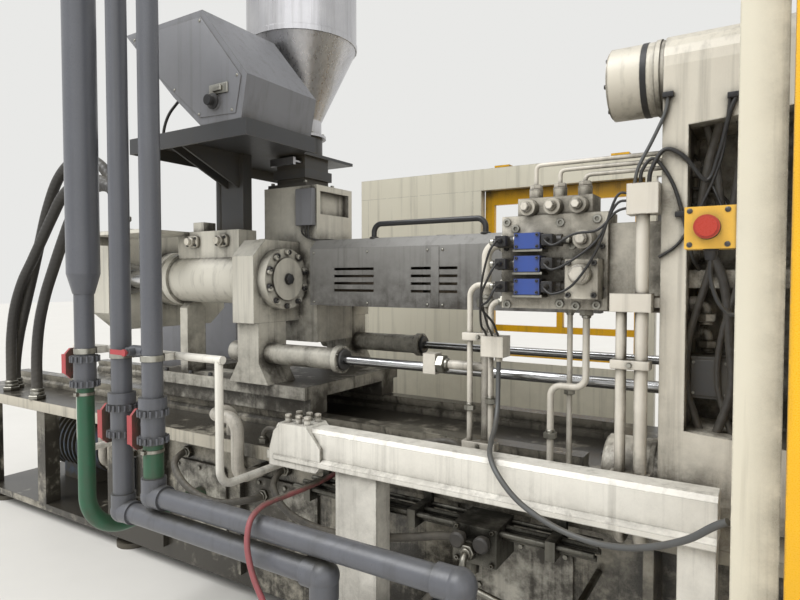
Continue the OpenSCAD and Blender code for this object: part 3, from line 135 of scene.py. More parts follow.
def grid_faces(rows: int, columns: int) -> np.ndarray:
    """Quads between rows of a grid whose columns close into a ring.

    Args:
        rows: Number of rings.
        columns: Number of points in each ring.

    Returns:
        Four vertex numbers for each quad: (i, j), (i, j+1), (i+1, j+1), (i+1, j).
    """
    i, j = np.meshgrid(np.arange(rows - 1), np.arange(columns), indexing="ij")
    k = (j + 1) % columns
    quads = [i * columns + j, i * columns + k, (i + 1) * columns + k, (i + 1) * columns + j]
    return np.stack(quads, axis=-1).reshape(-1, 4)


def closed_rings(rings: np.ndarray, uv: np.ndarray | None = None) -> Surface:
    """Skins a stack of rings and shuts both ends with a flat face.

    Args:
        rings: Array of rows, columns and x, y, z; each row goes round anticlockwise as seen
            from the last row.
        uv: Two numbers for each point of the grid, or None.

    Returns:
        The closed form.
    """
    rows, columns = rings.shape[:2]
    start = np.arange(columns)[::-1][None]
    end = (np.arange(columns) + (rows - 1) * columns)[None]
    flat = None if uv is None else uv.reshape(-1, 2)
    return Surface(rings.reshape(-1, 3), [grid_faces(rows, columns), start, end], flat)


def lathe(profile: Sequence[tuple[float, float]], sides: int = 32, flats: int = 0) -> Surface:
    """Turns a profile round the Z axis.

    Args:
        profile: Pairs of radius and height, from the bottom to the top.
        sides: Points round the axis.
        flats: Number of flats of a nut or bolt head, or 0 for a round one. The radius at an
            angle a is the flat's distance over cos(a folded into one flat).

    Returns:
        The closed form x = r·cos a, y = r·sin a, z = height.
    """
    radius, height = np.asarray(profile, float).T
    angle = np.arange(sides) * 2 * math.pi / sides
    shape = np.ones(sides)
    if flats:
        fold = (angle + math.pi / flats) % (2 * math.pi / flats) - math.pi / flats
        shape = 1 / np.cos(fold)
    ring = np.stack([np.cos(angle) * shape, np.sin(angle) * shape], axis=-1)
    flat = radius[:, None, None] * ring[None]
    z = np.broadcast_to(height[:, None, None], (*flat.shape[:2], 1))
    return closed_rings(np.concatenate([flat, z], axis=-1))


def rounded_outline(size: Sequence[float], corner: float, steps: int = 4) -> np.ndarray:
    """Goes round a rectangle with rounded corners, anticlockwise.

    Args:
        size: Full width and height.
        corner: Radius of the corners.
        steps: Segments in each corner.

    Returns:
        Points x, y: each corner's centre plus radius times (cos a, sin a).
    """
    half = np.asarray(size, float) / 2 - corner
    turn = np.linspace(0, math.pi / 2, steps + 1)[None] + np.arange(4)[:, None] * math.pi / 2
    signs = np.array([[1, 1], [-1, 1], [-1, -1], [1, -1]])
    arc = np.stack([np.cos(turn), np.sin(turn)], axis=-1) * corner
    return (arc + (signs * half)[:, None]).reshape(-1, 2)


def slab(outline: np.ndarray, height: float, edge: float, steps: int = 3) -> Surface:
    """Carries an outline up by a height, with both rims rounded over.

    Args:
        outline: Points x, y anticlockwise round the shape.
        height: Full thickness along Z.
        edge: Radius of the rounded rims.
        steps: Segments in each rim.

    Returns:
        The closed form. A ring at rim angle a is the outline moved inwards by
        edge·(1 − cos a) along its normals, at height edge·(1 − sin a) from the face.
    """
    ahead = np.roll(outline, -1, axis=0) - np.roll(outline, 1, axis=0)
    inward = np.stack([-ahead[:, 1], ahead[:, 0]], axis=-1)
    inward /= np.linalg.norm(inward, axis=1, keepdims=True)
    angle = np.linspace(math.pi / 2, 0, steps + 1)
    inset = np.concatenate([edge * (1 - np.cos(angle)), edge * (1 - np.cos(angle[::-1]))])
    low = edge * (1 - np.sin(angle))
    z = np.concatenate([low, height - low[::-1]])
    flat = outline[None] + inward[None] * inset[:, None, None]
    rings = np.concatenate([flat, np.broadcast_to(z[:, None, None], (*flat.shape[:2], 1))], -1)
    return closed_rings(rings)


def plate_form(size: Sequence[float], corner: float, height: float, edge: float) -> Surface:
    """Gives a plate with rounded corners and rims, standing on Z = 0 round the Z axis."""
    return slab(rounded_outline(size, corner), height, edge)


def box_form(low: Sequence[float], high: Sequence[float], edge: float) -> Surface:
    """A box between two corners with rounded upright edges and rims.

    Args:
        low: Lowest corner.
        high: Highest corner.
        edge: Radius of the upright edges; the rims have six tenths of it.

    Returns:
        The closed form, a slab on the rounded outline round the middle of the two corners.
    """
    low, high = np.asarray(low, float), np.asarray(high, float)
    size = high - low
    form = slab(rounded_outline(size[:2], edge), size[2], edge * 0.6)
    return form.moved([*(low[:2] + size[:2] / 2), low[2]])


def smooth_path(points: Sequence[Point], per_span: int) -> np.ndarray:
    """Draws one smooth curve through points.

    Args:
        points: The points in order.
        per_span: Samples between two points.

    Returns:
        Points of the Catmull-Rom curve, ½·(2b + (c−a)t + (2a−5b+4c−d)t² + (3b−a−3c+d)t³).
    """
    p = np.asarray(points, float)
    p = np.vstack([2 * p[0] - p[1], p, 2 * p[-1] - p[-2]])
    a, b, c, d = p[:-3, None], p[1:-2, None], p[2:-1, None], p[3:, None]
    t = (np.arange(per_span) / per_span)[None, :, None]
    curve = 0.5 * (
        2 * b + (c - a) * t + (2 * a - 5 * b + 4 * c - d) * t**2 + (3 * b - a - 3 * c + d) * t**3
    )
    return np.vstack([curve.reshape(-1, 3), p[-2:-1]])


def tube(path: np.ndarray, radius: float | np.ndarray, sides: int = 20) -> Surface:
    """Carries a circle along a path.

    Args:
        path: Points of the centreline.
        radius: One radius, or one for each point of the path.
        sides: Points round the tube.

    Returns:
        The closed form, centre + r·(cos a·side + sin a·(side × tangent)), with the length run
        and the turn round the tube, both in metres, as its UV. The side is the tangent
        crossed with the one of sixty directions that the path stays furthest from.
    """
    tangent = np.gradient(path, axis=0)
    tangent /= np.linalg.norm(tangent, axis=1, keepdims=True)
    turn = np.arange(60) * GOLDEN_ANGLE
    height = np.linspace(0.98, 0.0, 60)
    level = np.sqrt(1 - height**2)
    compass = np.stack([np.cos(turn) * level, np.sin(turn) * level, height], axis=-1)
    apart = np.linalg.norm(np.cross(compass[:, None], tangent[None]), axis=-1).min(axis=1)
    side = np.cross(tangent, compass[apart.argmax()])
    side /= np.linalg.norm(side, axis=1, keepdims=True)
    other = np.cross(tangent, side)
    angle = np.arange(sides) * 2 * math.pi / sides
    r = np.broadcast_to(np.asarray(radius, float), (len(path),))
    spoke = np.cos(angle)[:, None] * side[:, None] + np.sin(angle)[:, None] * other[:, None]
    rings = path[:, None] + r[:, None, None] * spoke
    run = np.concatenate([[0], np.cumsum(np.linalg.norm(np.diff(path, axis=0), axis=1))])
    v = angle * float(r.mean())
    uv = np.stack(np.broadcast_arrays(run[:, None], v[None]), axis=-1)
    return closed_rings(rings, uv)


def hoop(profile: Sequence[tuple[float, float]], sides: int = 32) -> Surface:
    """Turns a closed profile round the Z axis into a ring.

    Args:
        profile: Pairs of radius and height, anticlockwise with the radius to the right.
        sides: Points round the axis.

    Returns:
        The closed ring x = r·cos a, y = r·sin a, z = height, its last row joined to the first.
    """
    radius, height = np.asarray(profile, float).T
    angle = np.arange(sides) * 2 * math.pi / sides
    flat = radius[:, None, None] * np.stack([np.cos(angle), np.sin(angle)], axis=-1)[None]
    z = np.broadcast_to(height[:, None, None], (*flat.shape[:2], 1))
    rings = np.concatenate([flat, z], axis=-1)
    rings = np.concatenate([rings, rings[:1]])
    faces = grid_faces(len(rings), sides) % (len(profile) * sides)
    return Surface(rings[:-1].reshape(-1, 3), [faces])


def collar(bore: float, outer: float, height: float) -> Surface:
    """Gives a ring of round stock with broken edges, standing on Z = 0."""
    edge = min(height, outer - bore) * 0.2
    return hoop(
        [(bore, 0), (outer - edge, 0), (outer, edge), (outer, height - edge),
         (outer - edge, height), (bore, height)]
    )


def cap_screw(width: float, height: float) -> Surface:
    """Gives the round head of a socket screw, with its socket, standing on Z = 0."""
    r = width / 2
    return lathe([
        (r, 0), (r, height * 0.85), (r * 0.9, height), (r * 0.56, height),
        (r * 0.5, height * 0.5),
    ], 14)


def hex_head(flats: float, height: float) -> Surface:
    """Turns a hexagon head and its washer.

    Args:
        flats: Width across the flats.
        height: Full height.

    Returns:
        The two closed forms in one, standing on Z = 0.
    """
    r = flats / 2
    washer = lathe([(r * 1.25, 0), (r * 1.25, height * 0.14), (r * 1.2, height * 0.18)], 24)
    head = [(r * 0.95, height * 0.18), (r, height * 0.28), (r, height * 0.9), (r * 0.9, height)]
    return joined([washer, lathe(head, 24, 6)])


def union_nut(pipe: float) -> Surface:
    """Turns a union nut and its cone ring.

    Args:
        pipe: Radius of the pipe that they hold.

    Returns:
        The two closed forms in one, standing on Z = 0.
    """
    nut = [
        (pipe * 1.5, 0), (pipe * 1.75, pipe * 0.2), (pipe * 1.75, pipe * 1.7),
        (pipe * 1.5, pipe * 1.9),
    ]
    ring = [(pipe * 1.35, pipe * 1.9), (pipe * 1.35, pipe * 2.4), (pipe * 1.15, pipe * 2.6)]
    return joined([lathe(nut, 24, 6), lathe(ring, 24)])


def set_on(form: Surface, axis: Sequence[float], places: Any) -> Surface:
    """Stands a form on a face and repeats it.

    Args:
        form: A form that stands on Z = 0.
        axis: Direction in which the face looks.
        places: One row of x, y, z for each copy.

    Returns:
        All copies, each with its Z axis along the direction.
    """
    across = (1, 0, 0) if abs(axis[2]) > 0.9 else (0, 0, 1)
    return form.turned(across, axis).copied(places)


def ring_of(
    centres: Any, axis: Sequence[float], radius: float, count: int, start: float,
) -> np.ndarray:
    """Spreads places round one circle or several.

    Args:
        centres: Centre of the circle, or one row for each circle.
        axis: Direction that the circles lie across.
        radius: Radius of the circles.
        count: Number of places on each circle.
        start: Angle of the first place in degrees.

    Returns:
        One row for each place, centre + r·(cos a·across + sin a·(axis × across)).
    """
    angle = math.radians(start) + np.arange(count) * 2 * math.pi / count
    across = np.array((1.0, 0, 0) if abs(axis[2]) > 0.9 else (0, 0, 1.0))
    other = np.cross(axis, across)
    spoke = np.cos(angle)[:, None] * across + np.sin(angle)[:, None] * other
    middle = np.atleast_2d(np.asarray(centres, float))
    return (middle[:, None] + radius * spoke).reshape(-1, 3)


def spread(xs: Sequence[float], ys: Sequence[float], zs: Sequence[float]) -> np.ndarray:
    """Gives every mix of the x, y and z values as rows."""
    return np.stack(np.meshgrid(xs, ys, zs, indexing="ij"), axis=-1).reshape(-1, 3)


def bent_path(points: Sequence[Point], radius: float, steps: int = 6) -> np.ndarray:
    """Rounds the corners of a line of straight runs.

    Args:
        points: Start, corners and end.
        radius: Bend radius at each corner.
        steps: Segments in each bend.

    Returns:
        Start, bends and end. A bend is (1−t)²·a + 2t(1−t)·corner + t²·b, where a and b lie
        radius·tan(half the turn) from the corner on its two runs.
    """
    p = np.asarray(points, float)
    run = np.diff(p, axis=0)
    run /= np.linalg.norm(run, axis=1, keepdims=True)
    cosine = (run[:-1] * run[1:]).sum(axis=1).clip(-0.999, 0.999)
    reach = (radius * np.tan(np.arccos(cosine) / 2))[:, None, None]
    t = np.linspace(0, 1, steps + 1)[None, :, None]
    a = p[1:-1, None] - run[:-1, None] * reach
    b = p[1:-1, None] + run[1:, None] * reach
    bends = (1 - t) ** 2 * a + 2 * t * (1 - t) * p[1:-1, None] + t**2 * b
    return np.vstack([p[:1], bends.reshape(-1, 3), p[-1:]])


def pipe(points: Sequence[Point], width: float, bend: float, sides: int = 16) -> Surface:
    """Gives a bent pipe through corners, of one outside diameter."""
    return tube(bent_path(points, bend), width / 2, sides)


def lead(points: Sequence[Point], width: float, sides: int = 10) -> Surface:
    """Gives a soft cable or tube laid through points, of one outside diameter."""
    return tube(smooth_path(points, 6), width / 2, sides)


def make_piece(name: str, form: Surface, finish: "Finish", body: str, smooth: float = 40) -> Any:
    """Makes a mesh object from a form, dresses it and lets it ride on a body.

    Args:
        name: Name of the piece.
        form: The closed form in the machine's frame.
        finish: The finish that it gets.
        body: CAD body that carries it, or an empty word for a piece that is left unattached.
        smooth: Largest angle between faces that is still shaded smooth, in degrees.

    Returns:
        The Blender object.
    """
    mesh = bpy.data.meshes.new(name)
    faces = [row for block in form.faces for row in block.tolist()]
    mesh.from_pydata(form.verts.tolist(), [], faces)
    if form.uv is not None:
        corner = np.empty(len(mesh.loops), np.int32)
        mesh.loops.foreach_get("vertex_index", corner)
        layer = mesh.uv_layers.new(name="UVMap")
        layer.data.foreach_set("uv", form.uv[corner].astype(np.float32).ravel())
    mesh.shade_smooth()
    mesh.set_sharp_from_angle(angle=math.radians(smooth))
    mesh.validate()
    piece = bpy.data.objects.new(name, mesh)
    bpy.context.scene.collection.objects.link(piece)
    mesh.materials.append(finish.material())
    if body:
        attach(piece, body)
    LOG.info("%s: %d faces on %s", name, len(mesh.polygons), body or "two bodies")
    return piece


# Finishes


def srgb(code: str) -> tuple[float, float, float, float]:
    """Turns an sRGB hex value into a linear colour.

    Args:
        code: The value, such as "#D8D2C4".

    Returns:
        Red, green and blue from 0 to 1, and 1 for alpha.
    """
    value = np.array([int(code[i : i + 2], 16) for i in (1, 3, 5)]) / 255
    linear = np.where(value <= 0.04045, value / 12.92, ((value + 0.055) / 1.055) ** 2.4)
    return (*linear.tolist(), 1.0)


def add_node(
    tree: bpy.types.NodeTree,
    kind: str,
    settings: dict[str | int, Any] | None = None,
    links: dict[str | int, Any] | None = None,
) -> bpy.types.Node:
    """Adds a shader node with its settings and links.

    Args:
        tree: The material's node tree.
        kind: Blender's name of the node type.
        settings: Lower-case keys are the node's own options, others are input sockets.
        links: For each input socket, the output socket that feeds it.

    Returns:
        The node.
    """
    node = tree.nodes.new(kind)
    for key, value in (settings or {}).items():
        if isinstance(key, str) and key[0].islower():
            setattr(node, key, value)
        else:
            node.inputs[key].default_value = value
    for key, source in (links or {}).items():
        tree.links.new(source, node.inputs[key])
    return node


class Along(Enum):
    """Direction in which a surface was brushed, ground or drawn."""

    X = (0.02, 1.0, 1.0)
    Y = (1.0, 0.02, 1.0)
    Z = (1.0, 1.0, 0.02)
    NONE = (1.0, 1.0, 1.0)


@dataclass(frozen=True)
class Finish:
    """A surface: its material, how it was made, and how years of oil and dust aged it.

    Its patterns have real sizes: clouds of tone, patches and blots of grime, chips at the
    edges, grain, and how far the grime and painted shade of corners and hollows reach.
    """

    name: str
    colour: str
    tone: str
    roughness: float = 0.45
    metallic: float = 0.0
    ior: float = 1.5
    transmission: float = 0.0
    cloud_mm: float = 420.0
    # Grime and painted shade: occlusion darkens corners and hollows, and height darkens low places.
    corner_grime_and_shade: float = 0.8
    grime_and_shade_colour: str = "#4B463C"
    hollow: float = 0.4
    streaks: float = 0.3
    tops: float = 0.3
    low_grime_and_shade: float = 0.55
    low_grime_and_shade_z: tuple[float, float] = (-0.3, -1.3)
    wet: float = 0.2
    wear: float = 0.0
    under: str = "#6F6C66"
    edge_mm: float = 5.0
    # Real grain is finer than a pixel, so it is drawn as coarse as it needs to show.
    grain_mm: float = 2.5
    grain: float = 0.03
    uneven: float = 0.07
    patch_mm: float = 70.0
    blot_mm: float = 380.0
    chip_mm: float = 26.0
    corner_mm: float = 70.0
    hollow_mm: float = 500.0
    open_share: float = 0.94
    level_share: tuple[float, float] = (0.55, 0.95)
    # Width, depth and length of one oil run; 24 runs to the metre, each just over a metre long.
    run_mm: tuple[float, float, float] = (41.667, 41.667, 1111.1)
    along: Along = Along.NONE

    def material(self) -> bpy.types.Material:
        """Gives this finish as a material, made the first time that it is asked for."""
        found = bpy.data.materials.get(self.name)
        return found if found is not None else self._build()

    def _colours(self, tree: bpy.types.NodeTree, spot: Any) -> Any:
        """Mixes the two tones in soft clouds.

        Args:
            tree: The material's node tree.
            spot: Output socket with the position in metres.

        Returns:
            Output socket with the clean colour.
        """
        cloud = add_node(
            tree,
            "ShaderNodeTexNoise",
            {"Scale": 1 / (self.cloud_mm * MM), "Detail": 4.0, "Roughness": 0.6},
            {"Vector": spot},
        ).outputs[0]
        tones = {"data_type": "RGBA", 6: srgb(self.colour), 7: srgb(self.tone)}
        return add_node(tree, "ShaderNodeMix", tones, {0: cloud}).outputs[2]

    def _shaded(self, tree: bpy.types.NodeTree, reach: float, low: float, most: float) -> Any:
        """Finds corners and hollows by how much of the sky a point misses.

        Args:
            tree: The material's node tree.
            reach: How far a neighbour counts, in metres.
            low: Open share at which the grime and painted shade are thickest.
            most: Thickest grime and painted shade.

        Returns:
            Output socket with the grime and painted shade there.
        """
        shade = add_node(tree, "ShaderNodeAmbientOcclusion", {"samples": 4, "Distance": reach})
        span = {1: self.open_share, 2: low, 3: 0.0, 4: most}
        return add_node(tree, "ShaderNodeMapRange", span, {0: shade.outputs["AO"]}).outputs[0]

    def _patches(self, tree: bpy.types.NodeTree, spot: Any) -> Any:
        """Works out how the grime and painted shade break up into small patches and large blots.

        Args:
            tree: The material's node tree.
            spot: Output socket with the position in metres.

        Returns:
            Output socket with the factor of their thickness, a quarter to one and a half.
        """
        patch, blot = (
            add_node(
                tree,
                "ShaderNodeTexNoise",
                {"Scale": 1 / (size * MM), "Detail": detail, "Roughness": rough},
                {"Vector": spot},
            ).outputs[0]
            for size, detail, rough in ((self.patch_mm, 6.0, 0.72), (self.blot_mm, 3.0, 0.6))
        )
        uneven = add_node(
            tree, "ShaderNodeMath", {"operation": "ADD"}, {0: patch, 1: blot}
        ).outputs[0]
        return add_node(
            tree, "ShaderNodeMapRange", {1: 0.72, 2: 1.2, 3: 0.25, 4: 1.5}, {0: uneven}
        ).outputs[0]

    def _runs(self, tree: bpy.types.NodeTree, spot: Any) -> Any:
        """Works out the thin oil runs that hang down the sides.

        Args:
            tree: The material's node tree.
            spot: Output socket with the position in metres.

        Returns:
            Output socket with the dirt in the runs.
        """
        run_scale = tuple(1 / (size * MM) for size in self.run_mm)
        stretch = add_node(tree, "ShaderNodeMapping", {"Scale": run_scale}, {"Vector": spot})
        run = add_node(
            tree,
            "ShaderNodeTexNoise",
            {"Scale": 1.0, "Detail": 4.0, "Roughness": 0.65},
            {"Vector": stretch.outputs[0]},
        ).outputs[0]
        return add_node(
            tree, "ShaderNodeMapRange", {1: 0.52, 2: 0.74, 3: 0.0, 4: self.streaks}, {0: run}
        ).outputs[0]

    def _grimed_and_shaded(self, tree: bpy.types.NodeTree, spot: Any, colour: Any) -> tuple[Any, Any]:
        """Lays grime and painted shade in corners, hollows and low places, oil runs on sides and
        grime on tops.

        Args:
            tree: The material's node tree.
            spot: Output socket with the position in metres.
            colour: Output socket with the clean colour.

        Returns:
            Output sockets with the colour under grime and painted shade, and with their share.
        """
        height = add_node(tree, "ShaderNodeSeparateXYZ", links={0: spot}).outputs[2]
        facing = add_node(tree, "ShaderNodeNewGeometry").outputs["Normal"]
        upward = add_node(tree, "ShaderNodeSeparateXYZ", links={0: facing}).outputs[2]
        # Corner and hollow darkening found by occlusion: grime, and painted shade where ambient
        # light is blocked.
        total = self._shaded(tree, self.corner_mm * MM, 0.35, self.corner_grime_and_shade)
        layers = [self._shaded(tree, self.hollow_mm * MM, 0.12, self.hollow)]
        # Darkening towards the bottom (grime and painted shade), and grime on upward faces.
        for value, (low, high), most in (
            (height, self.low_grime_and_shade_z, self.low_grime_and_shade), (upward, self.level_share, self.tops),
        ):
            span = {1: low, 2: high, 3: 0.0, 4: most}
            layers.append(add_node(tree, "ShaderNodeMapRange", span, {0: value}).outputs[0])
        add = {"operation": "ADD"}
        for layer in layers:
            total = add_node(tree, "ShaderNodeMath", add, {0: total, 1: layer}).outputs[0]
        links = {0: total, 1: self._patches(tree, spot)}
        thick = add_node(tree, "ShaderNodeMath", {"operation": "MULTIPLY"}, links).outputs[0]
        links = {0: thick, 1: self._runs(tree, spot)}
        share = add_node(tree, "ShaderNodeMath", {**add, "use_clamp": True}, links).outputs[0]
        mix = add_node(
            tree,
            "ShaderNodeMix",
            {"data_type": "RGBA", 7: srgb(self.grime_and_shade_colour)},
            {0: share, 6: colour},
        )
        return mix.outputs[2], share

    def _worn(self, tree: bpy.types.NodeTree, spot: Any, colour: Any) -> tuple[Any, Any]:
        """Rubs the paint through at the edges and chips it here and there.

        Args:
            tree: The material's node tree.
            spot: Output socket with the position in metres.
            colour: Output socket with the colour so far.

        Returns:
            Output sockets with the worn colour and with the share of bare metal.
        """
        chips = add_node(
            tree,
            "ShaderNodeTexNoise",
            {"Scale": 1 / (self.chip_mm * MM), "Detail": 6.0, "Roughness": 0.75},
            {"Vector": spot},
        )
        edge = add_node(tree, "ShaderNodeBevel", {"samples": 4, "Radius": self.edge_mm * MM})
        facing = add_node(tree, "ShaderNodeNewGeometry")
        turn = add_node(
            tree,
            "ShaderNodeVectorMath",
            {"operation": "DOT_PRODUCT"},
            {0: edge.outputs[0], 1: facing.outputs["Normal"]},
        )
        near = add_node(
            tree,
            "ShaderNodeMapRange",
            {1: 0.999, 2: 0.93, 3: 0.0, 4: 0.34},
            {0: turn.outputs["Value"]},
        )
        total = add_node(
            tree, "ShaderNodeMath", {"operation": "ADD"}, {0: near.outputs[0], 1: chips.outputs[0]}
        )
        first = 0.8 - 0.1 * self.wear
        bare = add_node(
            tree,
            "ShaderNodeMapRange",
            {1: first, 2: first + 0.05, 3: 0.0, 4: self.wear},
            {0: total.outputs[0]},
        ).outputs[0]
        mix = add_node(
            tree,
            "ShaderNodeMix",
            {"data_type": "RGBA", 7: srgb(self.under)},
            {0: bare, 6: colour},
        )
        return mix.outputs[2], bare

    def _relief(self, tree: bpy.types.NodeTree, spot: Any) -> tuple[Any, Any]:
        """Works out the fine grain, drawn out along the way in which it was worked.

        Args:
            tree: The material's node tree.
            spot: Output socket with the position in metres.

        Returns:
            Output sockets with the grain from 0 to 1 and with the bumped normal.
        """
        stretch = add_node(
            tree, "ShaderNodeMapping", {"Scale": self.along.value}, {"Vector": spot}
        )
        grain = add_node(
            tree,
            "ShaderNodeTexNoise",
            {"Scale": 1 / (self.grain_mm * MM), "Detail": 3.0, "Roughness": 0.55},
            {"Vector": stretch.outputs[0]},
        ).outputs[0]
        bump = add_node(
            tree,
            "ShaderNodeBump",
            {"Strength": 0.6, "Distance": self.grain * MM * 10},
            {"Height": grain},
        )
        return grain, bump.outputs[0]

    def _build(self) -> bpy.types.Material:
        """Builds the material from its layers.

        Returns:
            The new material.
        """
        material = bpy.data.materials.new(self.name)
        material.use_nodes = True
        tree = material.node_tree
        tree.nodes.clear()
        spot = add_node(tree, "ShaderNodeTexCoord").outputs["Object"]
        colour = self._colours(tree, spot)
        metal = None
        if self.wear > 0:
            colour, metal = self._worn(tree, spot, colour)
        # Grime and painted shade darken the colour; their share also changes its roughness.
        colour, grime_and_shade = self._grimed_and_shaded(tree, spot, colour)
        grain, normal = self._relief(tree, spot)
        rough = add_node(
            tree,
            "ShaderNodeMapRange",
            {1: 0.3, 2: 0.7, 3: self.roughness - self.uneven, 4: self.roughness + self.uneven},
            {0: grain},
        ).outputs[0]
        matt = add_node(
            tree,
            "ShaderNodeMath",
            {"operation": "MULTIPLY_ADD", 1: self.wet, "use_clamp": True},
            {0: grime_and_shade, 2: rough},
        )
        shader = add_node(
            tree,
            "ShaderNodeBsdfPrincipled",
            {
                "Metallic": self.metallic,
                "IOR": self.ior,
                "Transmission Weight": self.transmission,
            },
            {"Base Color": colour, "Roughness": matt.outputs[0], "Normal": normal},
        )
        if metal is not None:
            tree.links.new(metal, shader.inputs["Metallic"])
        add_node(tree, "ShaderNodeOutputMaterial", links={"Surface": shader.outputs[0]})
        material.diffuse_color = srgb(self.colour)
        return material


@dataclass(frozen=True)
class ZonedFinish(Finish):
    """A finish with another colour in one band across the X axis."""

    inside: str = "#2F4FA0"
    middle: float = 0.0
    half: float = 0.04

    def _colours(self, tree: bpy.types.NodeTree, spot: Any) -> Any:
        """Mixes the tones outside the band and gives the band its own colour.

        Args:
            tree: The material's node tree.
            spot: Output socket with the position in metres.

        Returns:
            Output socket with the clean colour.
        """
        outside = super()._colours(tree, spot)
        x = add_node(tree, "ShaderNodeSeparateXYZ", links={0: spot}).outputs[0]
        band = add_node(
            tree, "ShaderNodeMath", {"operation": "COMPARE", 1: self.middle, 2: self.half}, {0: x}
        )
        mix = add_node(
            tree,
            "ShaderNodeMix",
            {"data_type": "RGBA", 7: srgb(self.inside)},
            {0: band.outputs[0], 6: outside},
        )
        return mix.outputs[2]


@dataclass(frozen=True)
class WrappedFinish(Finish):
    """A hose cover that keeps the print of the cloth tape it was cured in."""

    turn_mm: float = 27.634
    slant: float = 0.5

    def _relief(self, tree: bpy.types.NodeTree, spot: Any) -> tuple[Any, Any]:
        """Works out the tape's edges, one slanting line for each turn along the hose.

        Args:
            tree: The material's node tree.
            spot: Output socket with the position in metres, which the hose's UV replaces.

        Returns:
            Output sockets with the print from 0 to 1 and with the bumped normal.
        """
        along = add_node(tree, "ShaderNodeTexCoord").outputs["UV"]
        # The wave node counts 20 · scale radians to the metre, so the mapping takes 20 off.
        place = {"Scale": (1 / 20,) * 3, "Rotation": (0.0, 0.0, self.slant)}
        turned = add_node(tree, "ShaderNodeMapping", place, {"Vector": along}).outputs[0]
        wave = {"Scale": 2 * math.pi / (self.turn_mm * MM), "Distortion": 0.4, "Detail": 1.0}
        lines = add_node(tree, "ShaderNodeTexWave", wave, {"Vector": turned}).outputs["Fac"]
        bump = add_node(
            tree,
            "ShaderNodeBump",
            {"Strength": 0.5, "Distance": self.grain * MM * 10},
            {"Height": lines},
        )
        return lines, bump.outputs[0]


# Machine enamel, sprayed and stoved: satin cream with oil runs, and grime and painted shade in its
# corners and hollows.
CREAM_ENAMEL = Finish(
    "cream_machine_enamel", "#E6E1D4", "#D6CFBF", 0.36, corner_grime_and_shade=0.75, hollow=0.6, streaks=0.34,
    tops=0.25, low_grime_and_shade=0.5, wear=0.6,
)
# The same enamel on the guard's tube frame: yellower, cleaner, with thin brown runs.
IVORY_ENAMEL = Finish(
    "ivory_frame_enamel", "#DFDBCA", "#D3CDBA", 0.34, corner_grime_and_shade=0.7, hollow=0.1, streaks=0.3, tops=0.3,
    low_grime_and_shade=0.25, wear=0.5,
)
# Enamel of the bed and tank under years of hydraulic oil: wet black tops, sides darker towards the
# bottom, grime and painted shade in corners and hollows.
OILY_BED_ENAMEL = Finish(
    "oil_soaked_bed_enamel", "#CBC5B5", "#B3AC9C", 0.34, corner_grime_and_shade=1.0, grime_and_shade_colour="#38352F",
    hollow=0.5, streaks=0.5, tops=1.0, low_grime_and_shade=0.78, low_grime_and_shade_z=(-0.72, -1.05), wet=-0.06, wear=0.6,
)
# Enamel of the carriage castings, handled with oily gloves: greyer cream, dark edges.
HANDLED_ENAMEL = Finish(
    "handled_casting_enamel", "#E2DED2", "#CECABC", 0.36, corner_grime_and_shade=0.8, grime_and_shade_colour="#45413A",
    hollow=0.4, streaks=0.35, tops=0.4, low_grime_and_shade=0.75, low_grime_and_shade_z=(-0.1, -0.75), wear=0.6, grain=0.08,
    grain_mm=5.0,
)
# Drawn steel tube in the same enamel, thinner on the bends: a touch whiter and glossier.
PIPE_ENAMEL = Finish(
    "white_pipe_enamel", "#E6E1D6", "#D6CFC1", 0.32, corner_grime_and_shade=0.75, hollow=0.3, streaks=0.35, wear=0.6,
    cloud_mm=130, low_grime_and_shade=0.25, low_grime_and_shade_z=(0.0, -0.9),
)
# Gloss white on the long beam, wiped clean now and then: grey only in its corners, from grime and
# painted shade.
BEAM_ENAMEL = Finish(
    "white_beam_enamel", "#F2EFE6", "#E6E2D7", 0.33, corner_grime_and_shade=0.5, hollow=0.45, streaks=0.3, tops=0.15,
    low_grime_and_shade=0.2, wear=0.6,
)
# Enamelled sheet of the barrel cover, baked by the heaters: dull grey, with painted shade that
# makes it darker and browner towards its lower edge.
BAKED_SHEET = Finish(
    "heat_dulled_grey_sheet", "#9A9996", "#858481", 0.42, metallic=0.25, corner_grime_and_shade=0.5, hollow=0.1,
    grime_and_shade_colour="#3A3630", streaks=0.35, tops=0.2, low_grime_and_shade=0.85, low_grime_and_shade_z=(0.17, -0.2), cloud_mm=240,
    along=Along.X, grain_mm=2.0, wear=0.3,
)
# Steel plate in machine grey, with a blue cast and oil on it.
PLATE_GREY = Finish(
    "blue_grey_plate_enamel", "#80838A", "#6C6F77", 0.4, corner_grime_and_shade=0.8, low_grime_and_shade=0.5, low_grime_and_shade_z=(0.3, -0.6),
    wear=0.5,
)
# Powder coat with a fine texture: cool grey, matt, hides handling marks.
GREY_POWDER = Finish(
    "grey_powder_coat", "#88898D", "#77787D", 0.48, corner_grime_and_shade=0.6, hollow=0.2, streaks=0.25, wear=0.35,
    grain=0.09, grain_mm=1.8, low_grime_and_shade=0.3,
)
# Brushed-on workshop enamel: nearly black, oily.
DARK_ENAMEL = Finish(
    "dark_workshop_enamel", "#46474A", "#37383A", 0.4, corner_grime_and_shade=0.6, streaks=0.2, wear=0.6
)
# Black powder coat on bent tube: satin, worn to grey by hands.
BLACK_POWDER = Finish(
    "black_powder_coat", "#28292C", "#1E1F22", 0.36, corner_grime_and_shade=0.3, streaks=0.1, wear=0.4
)
# Safety yellow gloss enamel on folded sheet, with oily smears low down.
YELLOW_GLOSS = Finish(
    "safety_yellow_enamel", "#F3BB1C", "#E3A912", 0.28, corner_grime_and_shade=0.75, hollow=0.2, streaks=0.35,
    tops=0.3, low_grime_and_shade=0.4, wear=0.5, grime_and_shade_colour="#5A4A26",
)
